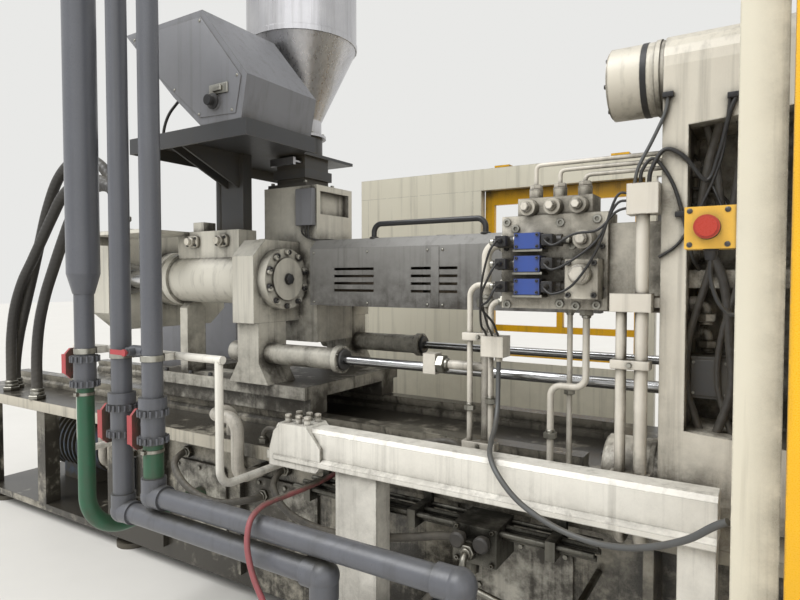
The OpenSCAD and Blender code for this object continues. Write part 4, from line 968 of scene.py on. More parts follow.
# Motor enamel: dull blue, dusty.
MOTOR_BLUE = Finish("motor_blue_enamel", "#48617E", "#3C526B", 0.42, corner_grime_and_shade=0.8, wear=0.4)
# Moulded polycarbonate switch box: warm yellow, slightly faded.
SWITCH_YELLOW = Finish(
    "moulded_yellow_polycarbonate", "#EFBF4C", "#E3B03A", 0.42, corner_grime_and_shade=0.7, hollow=0.0, streaks=0.1,
    grain=0.05, grain_mm=0.8, tops=0.2,
)
# Blackened nuts and screws: hot-dip oil black, rubbed bright on the corners.
OIL_BLACK_STEEL = Finish(
    "oil_blackened_steel", "#454546", "#353537", 0.38, metallic=0.85, wear=0.5, under="#8C8A86",
    grime_and_shade_colour="#24211D",
)
# Zinc plated fittings: pale grey with a faint straw cast, dull where dusty.
ZINC_PLATE = Finish(
    "zinc_plated_steel", "#B9B7AE", "#A3A29A", 0.32, metallic=1.0, cloud_mm=60, corner_grime_and_shade=0.7,
    streaks=0.2, hollow=0.2,
)
# Ground nitrided steel, straw to brown where the heaters cook the oil on it.
NITRIDED_STEEL = Finish(
    "nitrided_barrel_steel", "#8B857C", "#6F675C", 0.36, metallic=1.0, along=Along.X, corner_grime_and_shade=0.5
)
# Brushed stainless sheet of the hopper: upright brush lines, broad soft reflections.
BRUSHED_STAINLESS = Finish(
    "brushed_stainless_sheet", "#CBCACB", "#A9A9AE", 0.3, metallic=1.0, along=Along.Z, grain_mm=9.0,
    grain=0.05, corner_grime_and_shade=0.4, hollow=0.1, streaks=0.3, grime_and_shade_colour="#6B6862", tops=0.2, cloud_mm=160,
)
# Ground hard chrome: near mirror with an oil film.
HARD_CHROME = Finish(
    "ground_hard_chrome", "#D5D6D7", "#C4C5C7", 0.16, metallic=1.0, along=Along.X, corner_grime_and_shade=0.4,
    streaks=0.1, tops=0.15, low_grime_and_shade=0.15,
)
# Grey iron as cast: coarse skin, soaked with oil.
CAST_SKIN = Finish(
    "oily_cast_iron", "#56544F", "#46443F", 0.55, metallic=0.5, grain_mm=3.5, grain=0.2, wear=0.3
)
# Thin steel tube under the deck, darkened to black by oil, dust and painted shade.
OILY_TUBE = Finish(
    "oil_blackened_tube", "#96948B", "#75736B", 0.34, metallic=0.8, along=Along.X, corner_grime_and_shade=0.8,
    low_grime_and_shade=0.3, tops=0.4, grime_and_shade_colour="#26241F",
)
# Stainless heater bands: heat colours from straw to blue grey.
HEATER_SHEET = Finish(
    "heat_tinted_band_sheet", "#9C8C74", "#77716F", 0.38, metallic=1.0, along=Along.Y, cloud_mm=90
)
# Extruded grey PVC pressure pipe: cool grey, scuffed, dusty on the upper side.
GREY_PVC = Finish(
    "extruded_grey_pvc", "#65676E", "#585A60", 0.31, corner_grime_and_shade=0.5, hollow=0.2, streaks=0.3, tops=0.3,
    wear=0.2, under="#9A9DA0", cloud_mm=260, low_grime_and_shade=0.25, grime_and_shade_colour="#3B3A36",
)
# Moulded glass-filled nylon: black, fine spark texture.
BLACK_NYLON = Finish(
    "moulded_black_nylon", "#242427", "#1B1B1E", 0.45, corner_grime_and_shade=0.3, streaks=0.0, grain=0.06,
    grain_mm=0.7, tops=0.2, grime_and_shade_colour="#4A463F",
)
# Moulded red ABS push head: glossy under a little dust.
RED_ABS = Finish(
    "moulded_red_abs", "#B83A29", "#A63323", 0.3, corner_grime_and_shade=0.3, hollow=0.0, streaks=0.0, tops=0.2
)
# Vinyl dip on steel levers: soft red, dull from dust.
RED_VINYL = Finish(
    "dipped_red_vinyl", "#B8474C", "#A33C41", 0.44, corner_grime_and_shade=0.6, streaks=0.2, tops=0.3
)
# Extruded green hose, rubber: dark, slightly shiny.
GREEN_RUBBER = Finish("extruded_green_hose", "#22694A", "#1C573E", 0.34, corner_grime_and_shade=0.5, tops=0.3)
# Red rubber hose, dull and dusty.
RED_RUBBER = Finish("extruded_red_hose", "#A8545C", "#96474F", 0.42, corner_grime_and_shade=0.5, tops=0.4)
# Grey PVC cable jacket: smooth, darkened by oil.
GREY_JACKET = Finish("extruded_grey_cable", "#5E6061", "#4F5152", 0.42, corner_grime_and_shade=0.5, tops=0.3)
# Black PVC cable jacket: smooth, satin.
BLACK_JACKET = Finish("extruded_black_cable", "#2A2A2B", "#212122", 0.38, corner_grime_and_shade=0.3, streaks=0.0)
# Wire-wound hydraulic hose: black rubber with the slanting print of its curing tape.
WRAPPED_RUBBER = WrappedFinish(
    "wrapped_hose_cover", "#3B3937", "#302E2C", 0.5, corner_grime_and_shade=0.3, streaks=0.0, tops=0.35,
    grime_and_shade_colour="#6A655B", grain=0.12,
)
# Stacked valves: black coils at both ends and a blue enamelled body between them.
VALVE_COAT = ZonedFinish(
    "black_coils_and_blue_valve_enamel", "#2B2B2E", "#222225", 0.36, corner_grime_and_shade=0.6, streaks=0.1,
    wear=0.3, tops=0.3, inside="#34509C", middle=-0.7935, half=0.0425,
)
# Clear polycarbonate sheet of the gate windows: faint grey, with a few thin runs.
CLEAR_SHEET = Finish(
    "clear_polycarbonate_sheet", "#EEF0F0", "#E4E7E7", 0.08, ior=1.58, transmission=1.0, corner_grime_and_shade=0.0,
    hollow=0.0, streaks=0.06, tops=0.0, low_grime_and_shade=0.1, grain=0.0,
)
# Switched-off display glass: nearly black, mirror smooth.
DARK_GLASS = Finish(
    "dark_display_glass", "#15181C", "#101317", 0.08, corner_grime_and_shade=0.1, hollow=0.0, streaks=0.0, tops=0.0,
    low_grime_and_shade=0.0, grain=0.0,
)
# Floor paint of the studio: pale and matt.
FLOOR_PAINT = Finish(
    "pale_floor_paint", "#DCDAD5", "#D3D1CC", 0.6, corner_grime_and_shade=0.0, hollow=0.0, streaks=0.0, tops=0.0,
    low_grime_and_shade=0.0,
)


# Sub-assemblies

Coats = tuple[tuple[Finish, str], ...]
NEAR, FAR = (0, -1, 0), (0, 1, 0)
LEFT, RIGHT = (-1, 0, 0), (1, 0, 0)
UP, DOWN = (0, 0, 1), (0, 0, -1)


@dataclass
class Assembly:
    """CAD nodes that belong together, and the fittings that stand on them."""

    body: str = "root"
    coats: Coats = ()

    def dress(self) -> None:
        """Puts each finish on the CAD nodes that are listed with it."""
        for finish, names in self.coats:
            for name in names.split():
                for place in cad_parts[name].material_slots:
                    place.material = finish.material()
                LOG.info("%s: %s", name, finish.name)

    def add(self, name: str, forms: Sequence[Surface], finish: Finish, body: str = "") -> None:
        """Adds one piece made of several closed forms.

        Args:
            name: Name of the piece.
            forms: Its forms in the machine's frame.
            finish: Its finish.
            body: CAD body that carries it, or an empty word for the assembly's own body.
        """
        make_piece(name, joined(forms), finish, body or self.body)

    def stand(
        self, name: str, form: Surface, axis: Sequence[float], places: Any, finish: Finish,
        body: str = "",
    ) -> None:
        """Adds one piece made of a form that is repeated on a face.

        Args:
            name: Name of the piece.
            form: A form that stands on Z = 0.
            axis: Direction in which the face looks.
            places: One row of x, y, z for each copy.
            finish: Its finish.
            body: CAD body that carries it, or an empty word for the assembly's own body.
        """
        self.add(name, [set_on(form, axis, places)], finish, body)

    def build(self) -> None:
        """Dresses the nodes; an assembly with fittings adds them here."""
        self.dress()


@dataclass
class Studio:
    """Floor, lamps and camera; a lamp has its strength, width, pitch and turn in degrees."""

    eye: Point = (-0.140, -2.5, 0.0)
    tilt: float = 88.0
    turn: float = 31.7
    lens: float = 27.0
    floor_z: float = -1.5
    fill_light: float = 0.64
    seen_light: float = 0.9
    lamps: tuple[tuple[str, float, float, float, float], ...] = (
        ("ceiling_lamps", 2.35, 40.0, 34.0, -38.0), ("side_lamps", 0.85, 70.0, 66.0, 35.0),
    )

    def build(self) -> None:
        """Makes the camera, the lamps, the pale surroundings and the floor."""
        bpy.context.scene.view_settings.view_transform = "Standard"
        lens = bpy.data.cameras.new("camera")
        lens.lens, lens.sensor_width = self.lens, 36.0
        lens.clip_start, lens.clip_end = 0.05, 200.0
        camera = bpy.data.objects.new("camera", lens)
        camera.location = self.eye
        camera.rotation_euler = (math.radians(self.tilt), 0.0, math.radians(self.turn))
        bpy.context.scene.collection.objects.link(camera)
        bpy.context.scene.camera = camera
        for name, power, wide, pitch, yaw in self.lamps:
            lamp = bpy.data.lights.new(name, "SUN")
            lamp.energy, lamp.angle = power, math.radians(wide)
            holder = bpy.data.objects.new(name, lamp)
            holder.rotation_euler = (math.radians(pitch), 0.0, math.radians(yaw))
            bpy.context.scene.collection.objects.link(holder)
        self._sky()
        self._floor()

    def _sky(self) -> None:
        """Lights the object evenly and shows a pale background to the eye, metal and glass."""
        world = bpy.data.worlds.new("pale_room")
        bpy.context.scene.world = world
        world.use_nodes = True
        tree = world.node_tree
        tree.nodes.clear()
        ray = add_node(tree, "ShaderNodeLightPath")
        seen = ray.outputs["Is Camera Ray"]
        for name in ("Is Transmission Ray", "Is Glossy Ray"):
            links = {0: seen, 1: ray.outputs[name]}
            seen = add_node(tree, "ShaderNodeMath", {"operation": "MAXIMUM"}, links).outputs[0]
        span = {1: 0.0, 2: 1.0, 3: self.fill_light, 4: self.seen_light}
        level = add_node(tree, "ShaderNodeMapRange", span, {0: seen}).outputs[0]
        sky = add_node(
            tree, "ShaderNodeBackground", {"Color": srgb("#F4F4F2")}, {"Strength": level}
        )
        add_node(tree, "ShaderNodeOutputWorld", links={"Surface": sky.outputs[0]})

    def _floor(self) -> None:
        """Lays a plain pale floor, one slab with its top at the machine's feet."""
        top = plate_form((80.0, 80.0), 1.0, 0.1, 0.01).moved((0, 0, self.floor_z - 0.1))
        mesh = bpy.data.meshes.new("floor")
        mesh.from_pydata(top.verts.tolist(), [], [row for f in top.faces for row in f.tolist()])
        floor = bpy.data.objects.new("floor", mesh)
        bpy.context.scene.collection.objects.link(floor)
        mesh.materials.append(FLOOR_PAINT.material())


@dataclass
class PressureHoses:
    """Three black hoses from the injection cylinders' ports down to the tank's deck."""

    diameter: float = 0.060
    across: tuple[float, ...] = (-0.466, -0.529, -0.592)
    routes: tuple[tuple[tuple[float, float], ...], ...] = (
        (
            (-3.240, 0.3035), (-3.241, 0.400), (-3.290, 0.530), (-3.390, 0.640), (-3.540, 0.702),
            (-3.703, 0.690), (-3.850, 0.600), (-3.970, 0.430), (-4.060, 0.240), (-4.150, 0.040),
            (-4.250, -0.170), (-4.340, -0.370), (-4.393, -0.560), (-4.395, -0.7185),
        ),
        (
            (-3.130, 0.3035), (-3.132, 0.370), (-3.170, 0.450), (-3.255, 0.525), (-3.390, 0.560),
            (-3.550, 0.545), (-3.690, 0.480), (-3.800, 0.370), (-3.910, 0.250), (-4.030, 0.120),
            (-4.160, -0.020), (-4.260, -0.190), (-4.310, -0.380), (-4.320, -0.560),
            (-4.320, -0.7185),
        ),
        (
            (-3.020, 0.3035), (-3.022, 0.370), (-3.060, 0.440), (-3.140, 0.490), (-3.250, 0.495),
            (-3.370, 0.445), (-3.480, 0.350), (-3.575, 0.221), (-3.680, 0.060), (-3.776, -0.100),
            (-3.850, -0.280), (-3.884, -0.480), (-3.885, -0.7185),
        ),
    )

    def build(self) -> None:
        """Makes each hose, bends it between the tank and the carriage, and crimps its ends."""
        heads, feet = [], []
        for number, (y, route) in enumerate(zip(self.across, self.routes), start=1):
            path = smooth_path([(x, y, z) for x, z in route], 6)
            form = tube(path, self.diameter / 2, 24)
            hose = make_piece(f"pressure_hose_{number}", form, WRAPPED_RUBBER, "")
            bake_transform(hose)
            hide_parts("black_hoses")
            heads.append((path[0][0], y, 0.2995))
            feet.append((path[-1][0], y, -0.7205))
        crimp = joined([
            lathe([(0.040, 0), (0.044, 0.004), (0.044, 0.022), (0.040, 0.026)], 24, 6),
            lathe([
                (0.034, 0.026), (0.0375, 0.030), (0.0375, 0.044), (0.035, 0.047),
                (0.0375, 0.050), (0.0375, 0.062), (0.0335, 0.066),
            ], 24),
        ])
        make_piece("hose_crimps_on_cylinders", set_on(crimp, UP, heads), ZINC_PLATE, "carriage")
        make_piece("hose_crimps_on_deck", set_on(crimp, UP, feet), ZINC_PLATE, "root")


@dataclass
class LooseLine:
    """One free cable or hose between two fixed ends."""

    name: str
    node: str
    slot: str
    finish: Finish
    diameter: float
    stiffness: str
    route: tuple[Point, ...]

    def build(self) -> None:
        path = smooth_path(self.route, 6)
        form = tube(path, self.diameter / 2, 20)
        line = make_piece(self.name, form, self.finish, "root")
        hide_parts(self.node)


SWITCH_CABLE = LooseLine(
    "switch_cable", "grey_cable", "grey_cable", GREY_JACKET, 0.016, "medium",
    (
        (-0.910, -0.625, -0.2753), (-0.910, -0.628, -0.350), (-0.902, -0.652, -0.425),
        (-0.887, -0.708, -0.476), (-0.866, -0.790, -0.502), (-0.835, -0.868, -0.525),
        (-0.790, -0.912, -0.563), (-0.730, -0.925, -0.615), (-0.655, -0.928, -0.654),
        (-0.580, -0.938, -0.672), (-0.500, -0.962, -0.670), (-0.420, -1.000, -0.647),
        (-0.345, -1.045, -0.607), (-0.280, -1.088, -0.560), (-0.232, -1.126, -0.510),
        (-0.204, -1.141, -0.488),
    ),
)
WATER_HOSE = LooseLine(
    "red_water_hose", "red_hose", "red_rubber", RED_RUBBER, 0.019, "medium",
    (
        (-1.545, -0.632, -0.743), (-1.545, -0.700, -0.745), (-1.544, -0.790, -0.748),
        (-1.542, -0.880, -0.747), (-1.538, -0.970, -0.742), (-1.533, -1.050, -0.736),
        (-1.527, -1.115, -0.738), (-1.520, -1.165, -0.765), (-1.506, -1.190, -0.830),
        (-1.475, -1.197, -0.910), (-1.430, -1.195, -0.990), (-1.412, -1.180, -1.080),
        (-1.420, -1.140, -1.190), (-1.442, -1.070, -1.290), (-1.465, -0.970, -1.362),
        (-1.478, -0.850, -1.395), (-1.481, -0.730, -1.385), (-1.482, -0.630, -1.334),
        (-1.482, -0.575, -1.312), (-1.482, -0.523, -1.306),
    ),
)


@dataclass
class ValveStation(Assembly):
    """Manifold with three stacked valves, its plugs and leads, and the pipes that leave it."""

    coats: Coats = (
        (CREAM_ENAMEL, "manifold_block"),
        (VALVE_COAT, "directional_valves"),
        (PIPE_ENAMEL, "manifold_pipes"),
    )
    rows: tuple[float, ...] = (0.120, 0.048, -0.024)
    coil_y: float = -0.655
    face_y: float = -0.625

    def build(self) -> None:
        """Dresses the nodes and adds coil nuts, plugs, leads, fittings and clamps."""
        self.dress()
        self._coils()
        self._leads()
        self._fittings()
        self._unions()
        self._clamps()

    def _coils(self) -> None:
        """Adds the bright nuts and bands of the coils and the screws of the valve bodies."""
        nut = lathe([(0.0105, 0), (0.013, 0.002), (0.013, 0.011), (0.0095, 0.015)], 20)
        band = collar(0.0188, 0.0228, 0.008)
        forms = []
        for side, end, shoulder in ((LEFT, -0.914, -0.835), (RIGHT, -0.677, -0.752)):
            forms.append(set_on(nut, side, spread([end], [self.coil_y], self.rows)))
            forms.append(set_on(band, side, spread([shoulder], [self.coil_y], self.rows)))
        self.add("coil_nuts", forms, ZINC_PLATE)
        corners = spread([-0.827, -0.760], [-0.6865], self.rows)
        screws = np.vstack([corners + (0, 0, 0.018), corners - (0, 0, 0.018)])
        self.stand("valve_screws", cap_screw(0.009, 0.006), NEAR, screws, OIL_BLACK_STEEL)
        spacer = box_form((-0.8425, -0.683, -0.0342), (-0.7445, -0.625, -0.0258), 0.002)
        plates = spacer.copied(spread([0], [0], self.rows))
        self.add("valve_spacer_plates", [plates], ZINC_PLATE)

    def _leads(self) -> None:
        """Adds the coil plugs and the black leads that run to the two cable boxes."""
        plugs, leads = [], []
        gland = lathe([(0.0088, 0), (0.0088, 0.010), (0.0055, 0.017)], 18, 6)
        for number, z in enumerate(self.rows):
            for x in (-0.8705, -0.7205):
                plugs.append(
                    box_form((x - 0.018, -0.715, z - 0.017), (x + 0.018, -0.688, z + 0.017), 0.003)
                )
                plugs.append(set_on(gland, NEAR, [(x, -0.7145, z)]))
            end = -0.947 + 0.021 * number
            leads.append(lead([
                (-0.8705, -0.728, z), (-0.874, -0.748, z - 0.006), (-0.893, -0.757, z - 0.045),
                (-0.925, -0.735, (z - 0.16) / 2), (end, -0.690, -0.140), (end, -0.655, -0.175),
                (end, -0.640, -0.192),
            ], 0.0075))
            high = 0.200 + 0.02 * number
            leads.append(lead([
                (-0.7205, -0.728, z), (-0.717, -0.750, z - 0.004), (-0.685, -0.762, z - 0.02),
                (-0.625, -0.760, z + 0.01), (-0.560, -0.752, (z + high) / 2 - 0.02),
                (-0.515, -0.738, high - 0.012), (-0.480, -0.732, high),
            ], 0.0075))
        self.add("coil_plugs", plugs, BLACK_NYLON)
        self.add("coil_leads", leads, BLACK_JACKET)

    def _fittings(self) -> None:
        """Adds plugs, screws and the bent tubes on the manifold."""
        plug = lathe([(0.012, 0), (0.012, 0.006), (0.0065, 0.0065), (0.0055, 0.002)], 18, 6)
        dots = [
            (-0.882, 0.186), (-0.852, 0.164), (-0.705, 0.178), (-0.592, 0.184), (-0.880, -0.084),
            (-0.705, -0.078), (-0.655, -0.084), (-0.592, -0.080), (-0.668, 0.105),
        ]
        plugs = [set_on(plug, NEAR, [(x, self.face_y + 0.0005, z) for x, z in dots])]
        sides = [(-0.8995, -0.56, 0.040), (-0.8995, -0.535, 0.165), (-0.8995, -0.60, 0.180)]
        plugs.append(set_on(plug, LEFT, sides))
        self.add("manifold_plugs", plugs, ZINC_PLATE)
        xs = (-0.805, -0.725, -0.645)
        caps = [
            set_on(hex_head(0.036, 0.018), UP, spread(xs, [-0.565], [0.2915])),
            set_on(hex_head(0.024, 0.014), NEAR, spread(xs, [-0.6725], [0.228])),
            set_on(hex_head(0.028, 0.014), NEAR, [(-0.620, -0.7095, 0.120)]),
            set_on(hex_head(0.044, 0.020), NEAR, [(-0.620, -0.7295, 0.015)]),
        ]
        for number, x in enumerate(xs[::-1]):
            top = 0.330 + 0.022 * number
            caps.append(
                pipe([(x, -0.565, 0.305), (x, -0.565, top), (-0.402, -0.565, top)], 0.014, 0.02)
            )
            caps.append(set_on(union_nut(0.0075), LEFT, [(-0.400, -0.565, top)]))
        self.add("manifold_caps_and_tubes", caps, PIPE_ENAMEL)
        screws = spread([-0.659, -0.583], [-0.6945], [-0.048, 0.048])
        frame_screws = spread([-0.884, -0.576], [self.face_y + 0.0005], [-0.03, 0.10])
        self.stand(
            "manifold_screws", cap_screw(0.016, 0.010), NEAR, np.vstack([screws, frame_screws]),
            OIL_BLACK_STEEL,
        )

    def _unions(self) -> None:
        """Adds the union nuts at both ends of each pipe."""
        ends = (
            (LEFT, 0.010, [(-0.8995, -0.585, -0.020), (-0.8995, -0.585, -0.075)]),
            (LEFT, 0.017, [(-0.8995, -0.545, 0.120)]),
            (DOWN, 0.011, [(-0.632, -0.585, -0.0945)]),
            (DOWN, 0.009, [(-0.699, -0.530, -0.0945)]),
            (UP, 0.010, [(-1.034, -0.585, -0.7205), (-0.955, -0.585, -0.7205)]),
            (UP, 0.010, [(-1.034, -0.585, -0.46), (-0.955, -0.585, -0.43)]),
            (UP, 0.017, [(-0.990, -0.545, -0.7205), (-0.990, -0.545, -0.10)]),
            (UP, 0.011, [(-0.745, -0.585, -0.7205), (-0.745, -0.585, -0.52)]),
            (UP, 0.009, [(-0.699, -0.530, -0.7205), (-0.699, -0.530, -0.38)]),
            (RIGHT, 0.017, [(-1.1805, -0.545, -0.312)]),
        )
        forms = [set_on(union_nut(r), axis, places) for axis, r, places in ends]
        self.add("pipe_union_nuts", forms, ZINC_PLATE)

    def _clamps(self) -> None:
        """Adds the twin clamps that hold the pipes and conduits in pairs."""
        forms, screws = [], []
        for z in (-0.20, -0.58):
            forms.append(box_form((-1.057, -0.606, z - 0.014), (-0.932, -0.564, z + 0.014), 0.005))
            screws.append((-0.9945, -0.6055, z))
        for z in (-0.24, -0.56):
            forms.append(box_form((-0.524, -0.753, z - 0.013), (-0.418, -0.703, z + 0.013), 0.005))
            screws.append((-0.471, -0.7525, z))
        self.add("pipe_clamps", forms, PIPE_ENAMEL)
        self.stand("pipe_clamp_screws", hex_head(0.012, 0.008), NEAR, screws, ZINC_PLATE)


@dataclass
class StopStation(Assembly):
    """Yellow push-button box on the near guard post."""

    coats: Coats = (
        (SWITCH_YELLOW, "estop_box"), (BLACK_NYLON, "estop_stem"), (RED_ABS, "estop_head"),
    )

    def build(self) -> None:
        """Dresses the box and adds its screws, collar, gland and the lead into the post."""
        self.dress()
        low, high = (np.asarray(corner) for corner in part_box("estop_box"))
        face = -1.196
        dome = lathe([(0.0055, 0), (0.0052, 0.002), (0.0032, 0.0035)], 14)
        corners = spread(
            [low[0] + 0.0095, high[0] - 0.0145], [face + 0.001], [low[2] + 0.008, high[2] - 0.008],
        )
        self.stand("stop_box_screws", dome, NEAR, corners, OIL_BLACK_STEEL)
        ring = collar(0.0152, 0.0235, 0.0035)
        self.stand("stop_button_collar", ring, NEAR, [(-0.246, face - 0.0005, 0.100)], BLACK_NYLON)
        gland = joined([
            lathe([(0.012, 0), (0.012, 0.012), (0.0085, 0.022)], 18, 6),
            lathe([(0.0145, 0), (0.0145, 0.003), (0.013, 0.004)], 20),
        ])
        foot = (-0.242, -1.166, low[2] + 0.0005)
        self.stand("stop_box_gland", gland, DOWN, [foot], BLACK_NYLON)
        wire = lead([
            (foot[0], foot[1], foot[2] - 0.015), (foot[0], foot[1], foot[2] - 0.055),
            (foot[0] + 0.012, foot[1] + 0.004, foot[2] - 0.10), (-0.212, -1.160, foot[2] - 0.125),
            (-0.196, -1.160, foot[2] - 0.130),
        ], 0.008)
        self.add("stop_box_lead", [wire], BLACK_JACKET)


@dataclass
class Platens(Assembly):
    """Fixed, moving and rear platens with tie bars, mould-side fittings and lifting eyes."""

    coats: Coats = (
        (CREAM_ENAMEL, "fixed_platen rear_platen moving_platen tie_bar_covers"),
        (HARD_CHROME, "tie_bars"),
        (OIL_BLACK_STEEL, "tie_bar_nuts"),
        (NITRIDED_STEEL, "ejector_plate"),
    )
    bars: tuple[float, float] = (0.6, 0.58)
    half: tuple[float, float] = (0.71, 0.69)

    def build(self) -> None:
        """Dresses the platens and adds eyes, can screws, hollow fittings and all thin lines."""
        self.dress()
        self._eyes()
        self._cans()
        self._hollow()
        self._hollow_fittings()
        self._outside_lines()
        self._grease()

    def _eyes(self) -> None:
        """Adds a lifting eye on each shoulder of each platen."""
        turn = np.linspace(0, 2 * math.pi, 25)[:-1]
        ring = hoop([(0.030 + 0.009 * math.cos(a), 0.009 * math.sin(a)) for a in turn[::3]], 24)
        eye = joined([
            ring.turned((1, 0, 0), (0, -1, 0)).moved((0, 0, 0.052)),
            lathe([(0.030, 0), (0.030, 0.008), (0.016, 0.012), (0.014, 0.026)], 20),
        ])
        for body, x in (("root", -0.20), ("moving_platen", 0.99), ("root", 2.85)):
            places = spread([x], [-0.34, 0.34], [self.half[1] - 0.0005])
            self.stand(
                f"platen_lifting_eyes_{int(x * 100) + 20}", eye, UP, places, OIL_BLACK_STEEL, body,
            )

    def _cans(self) -> None:
        """Adds the screws and hoops of the cans that cover the tie bar nuts."""
        y, z = self.bars
        centres = spread([-0.557], [-y, y], [-z, z])
        screws = ring_of(centres, LEFT, 0.082, 6, 15)
        self.stand("tie_can_screws", cap_screw(0.013, 0.007), LEFT, screws, OIL_BLACK_STEEL)
        self.stand(
            "tie_can_gap_seals", collar(0.1035, 0.1055, 0.016), LEFT, centres + (0.1095, 0, 0),
            BLACK_NYLON,
        )

    def _hollow(self) -> None:
        """Fills the near hollow of the fixed platen with its hoses and cables."""
        runs = (
            (-0.300, -0.636, 0.020), (-0.262, -0.648, 0.024), (-0.222, -0.640, 0.016),
            (-0.185, -0.650, 0.020),
        )
        hoses = []
        for number, (x, y, width) in enumerate(runs):
            lean = 0.03 * (-1) ** number
            hoses.append(
                lead([
                    (x, y, 0.432), (x + lean, y - 0.010, 0.30), (x + lean * 1.4, -0.662, 0.14),
                    (x + 0.012, -0.664, 0.0), (x - lean, -0.660, -0.16),
                    (x - lean * 1.2, y - 0.006, -0.30), (x, y, -0.432),
                ], width, 12)
            )
        self.add("platen_hoses", hoses, WRAPPED_RUBBER)
        thin = []
        for number in range(4):
            x = -0.318 + 0.03 * number
            thin.append(
                lead([
                    (-0.3345, -0.55 - 0.02 * number, 0.36 - 0.05 * number),
                    (x, -0.600, 0.33 - 0.05 * number), (x + 0.06, -0.668, 0.20 - 0.04 * number),
                    (x + 0.11, -0.672, 0.02), (x + 0.08, -0.66, -0.10),
                    (-0.262, -0.636, -0.216),
                ], 0.009)
            )
        self.add("platen_cables", thin, BLACK_JACKET)

    def _hollow_fittings(self) -> None:
        """Adds the elbows of the same hollow and its cable box."""
        elbows = []
        for y, z in (
            (-0.60, 0.31), (-0.57, 0.23), (-0.62, 0.16), (-0.58, 0.07), (-0.61, -0.07),
            (-0.56, -0.15),
        ):
            elbows.append(
                pipe([(-0.3355, y, z), (-0.292, y, z), (-0.292, y, z - 0.055)], 0.026, 0.02)
            )
            elbows.append(set_on(union_nut(0.0125), RIGHT, [(-0.3355, y, z)]))
            elbows.append(set_on(union_nut(0.0125), DOWN, [(-0.292, y, z - 0.026)]))
        self.add("platen_elbows", elbows, PIPE_ENAMEL)
        case = box_form((-0.3355, -0.640, -0.334), (-0.224, -0.545, -0.216), 0.004)
        lid = box_form((-0.328, -0.644, -0.326), (-0.232, -0.6395, -0.224), 0.004)
        self.add("platen_cable_box", [case, lid], DARK_ENAMEL)
        screws = spread([-0.320, -0.240], [-0.6435], [-0.318, -0.232])
        self.stand("platen_box_screws", cap_screw(0.008, 0.003), NEAR, screws, ZINC_PLATE)

    def _outside_lines(self) -> None:
        """Adds the tubes and cables that cross the near side of the fixed platen."""
        black = [
            lead([(-0.452, -0.728, 0.258), (-0.448, -0.728, 0.300), (-0.418, -0.722, 0.330),
                  (-0.372, -0.717, 0.262), (-0.342, -0.717, 0.160), (-0.322, -0.700, 0.060),
                  (-0.310, -0.660, 0.030), (-0.318, -0.62, 0.026)], 0.010),
            lead([(-0.430, -0.728, 0.258), (-0.424, -0.729, 0.300), (-0.392, -0.722, 0.352),
                  (-0.345, -0.718, 0.330), (-0.290, -0.703, 0.262), (-0.262, -0.704, 0.330),
                  (-0.238, -0.717, 0.430), (-0.222, -0.717, 0.475)], 0.012),
            lead([(-0.404, -0.716, 0.06), (-0.352, -0.716, 0.10), (-0.300, -0.704, 0.20),
                  (-0.256, -0.704, 0.32), (-0.240, -0.716, 0.445), (-0.238, -0.715, 0.478)], 0.008),
        ]
        self.add("platen_outside_cables", black, BLACK_JACKET)
        air = lead([(-0.386, -0.716, 0.503), (-0.392, -0.717, 0.455), (-0.424, -0.722, 0.380),
                    (-0.458, -0.726, 0.310), (-0.468, -0.728, 0.258)], 0.010)
        self.add("platen_air_tube", [air], GREY_JACKET)
        clips = [box_form((x - 0.014, -0.725, z - 0.007), (x + 0.014, -0.7095, z + 0.007), 0.002)
                 for x, z in ((-0.350, 0.175), (-0.230, 0.475), (-0.386, 0.500))]
        self.add("platen_cable_clips", clips, BLACK_NYLON)

    def _grease(self) -> None:
        """Adds the grease distributor of the moving platen and its thin tubes."""
        roof = self.half[1]
        case = box_form((0.94, -0.06, roof - 0.0005), (1.04, 0.06, roof + 0.045), 0.004)
        plugs = spread([0.96, 1.02], [-0.04, 0.0, 0.04], [roof + 0.0445])
        block = [case, set_on(hex_head(0.014, 0.009), UP, plugs)]
        self.add("grease_block", block, ZINC_PLATE, "moving_platen")
        tubes = []
        for number, y in enumerate((-0.048, -0.024, 0.024, 0.048)):
            far = -0.56 if y < 0 else 0.56
            top = roof + 0.010 + 0.009 * (number % 2)
            x = 0.955 + 0.02 * number
            tubes.append(
                pipe([
                    (x, y, top + 0.015), (x, y * 2, top + 0.015), (x, far * 0.9, top),
                    (x, far, roof - 0.02),
                ], 0.007, 0.02, 8)
            )
        self.add("grease_tubes", tubes, ZINC_PLATE, "moving_platen")


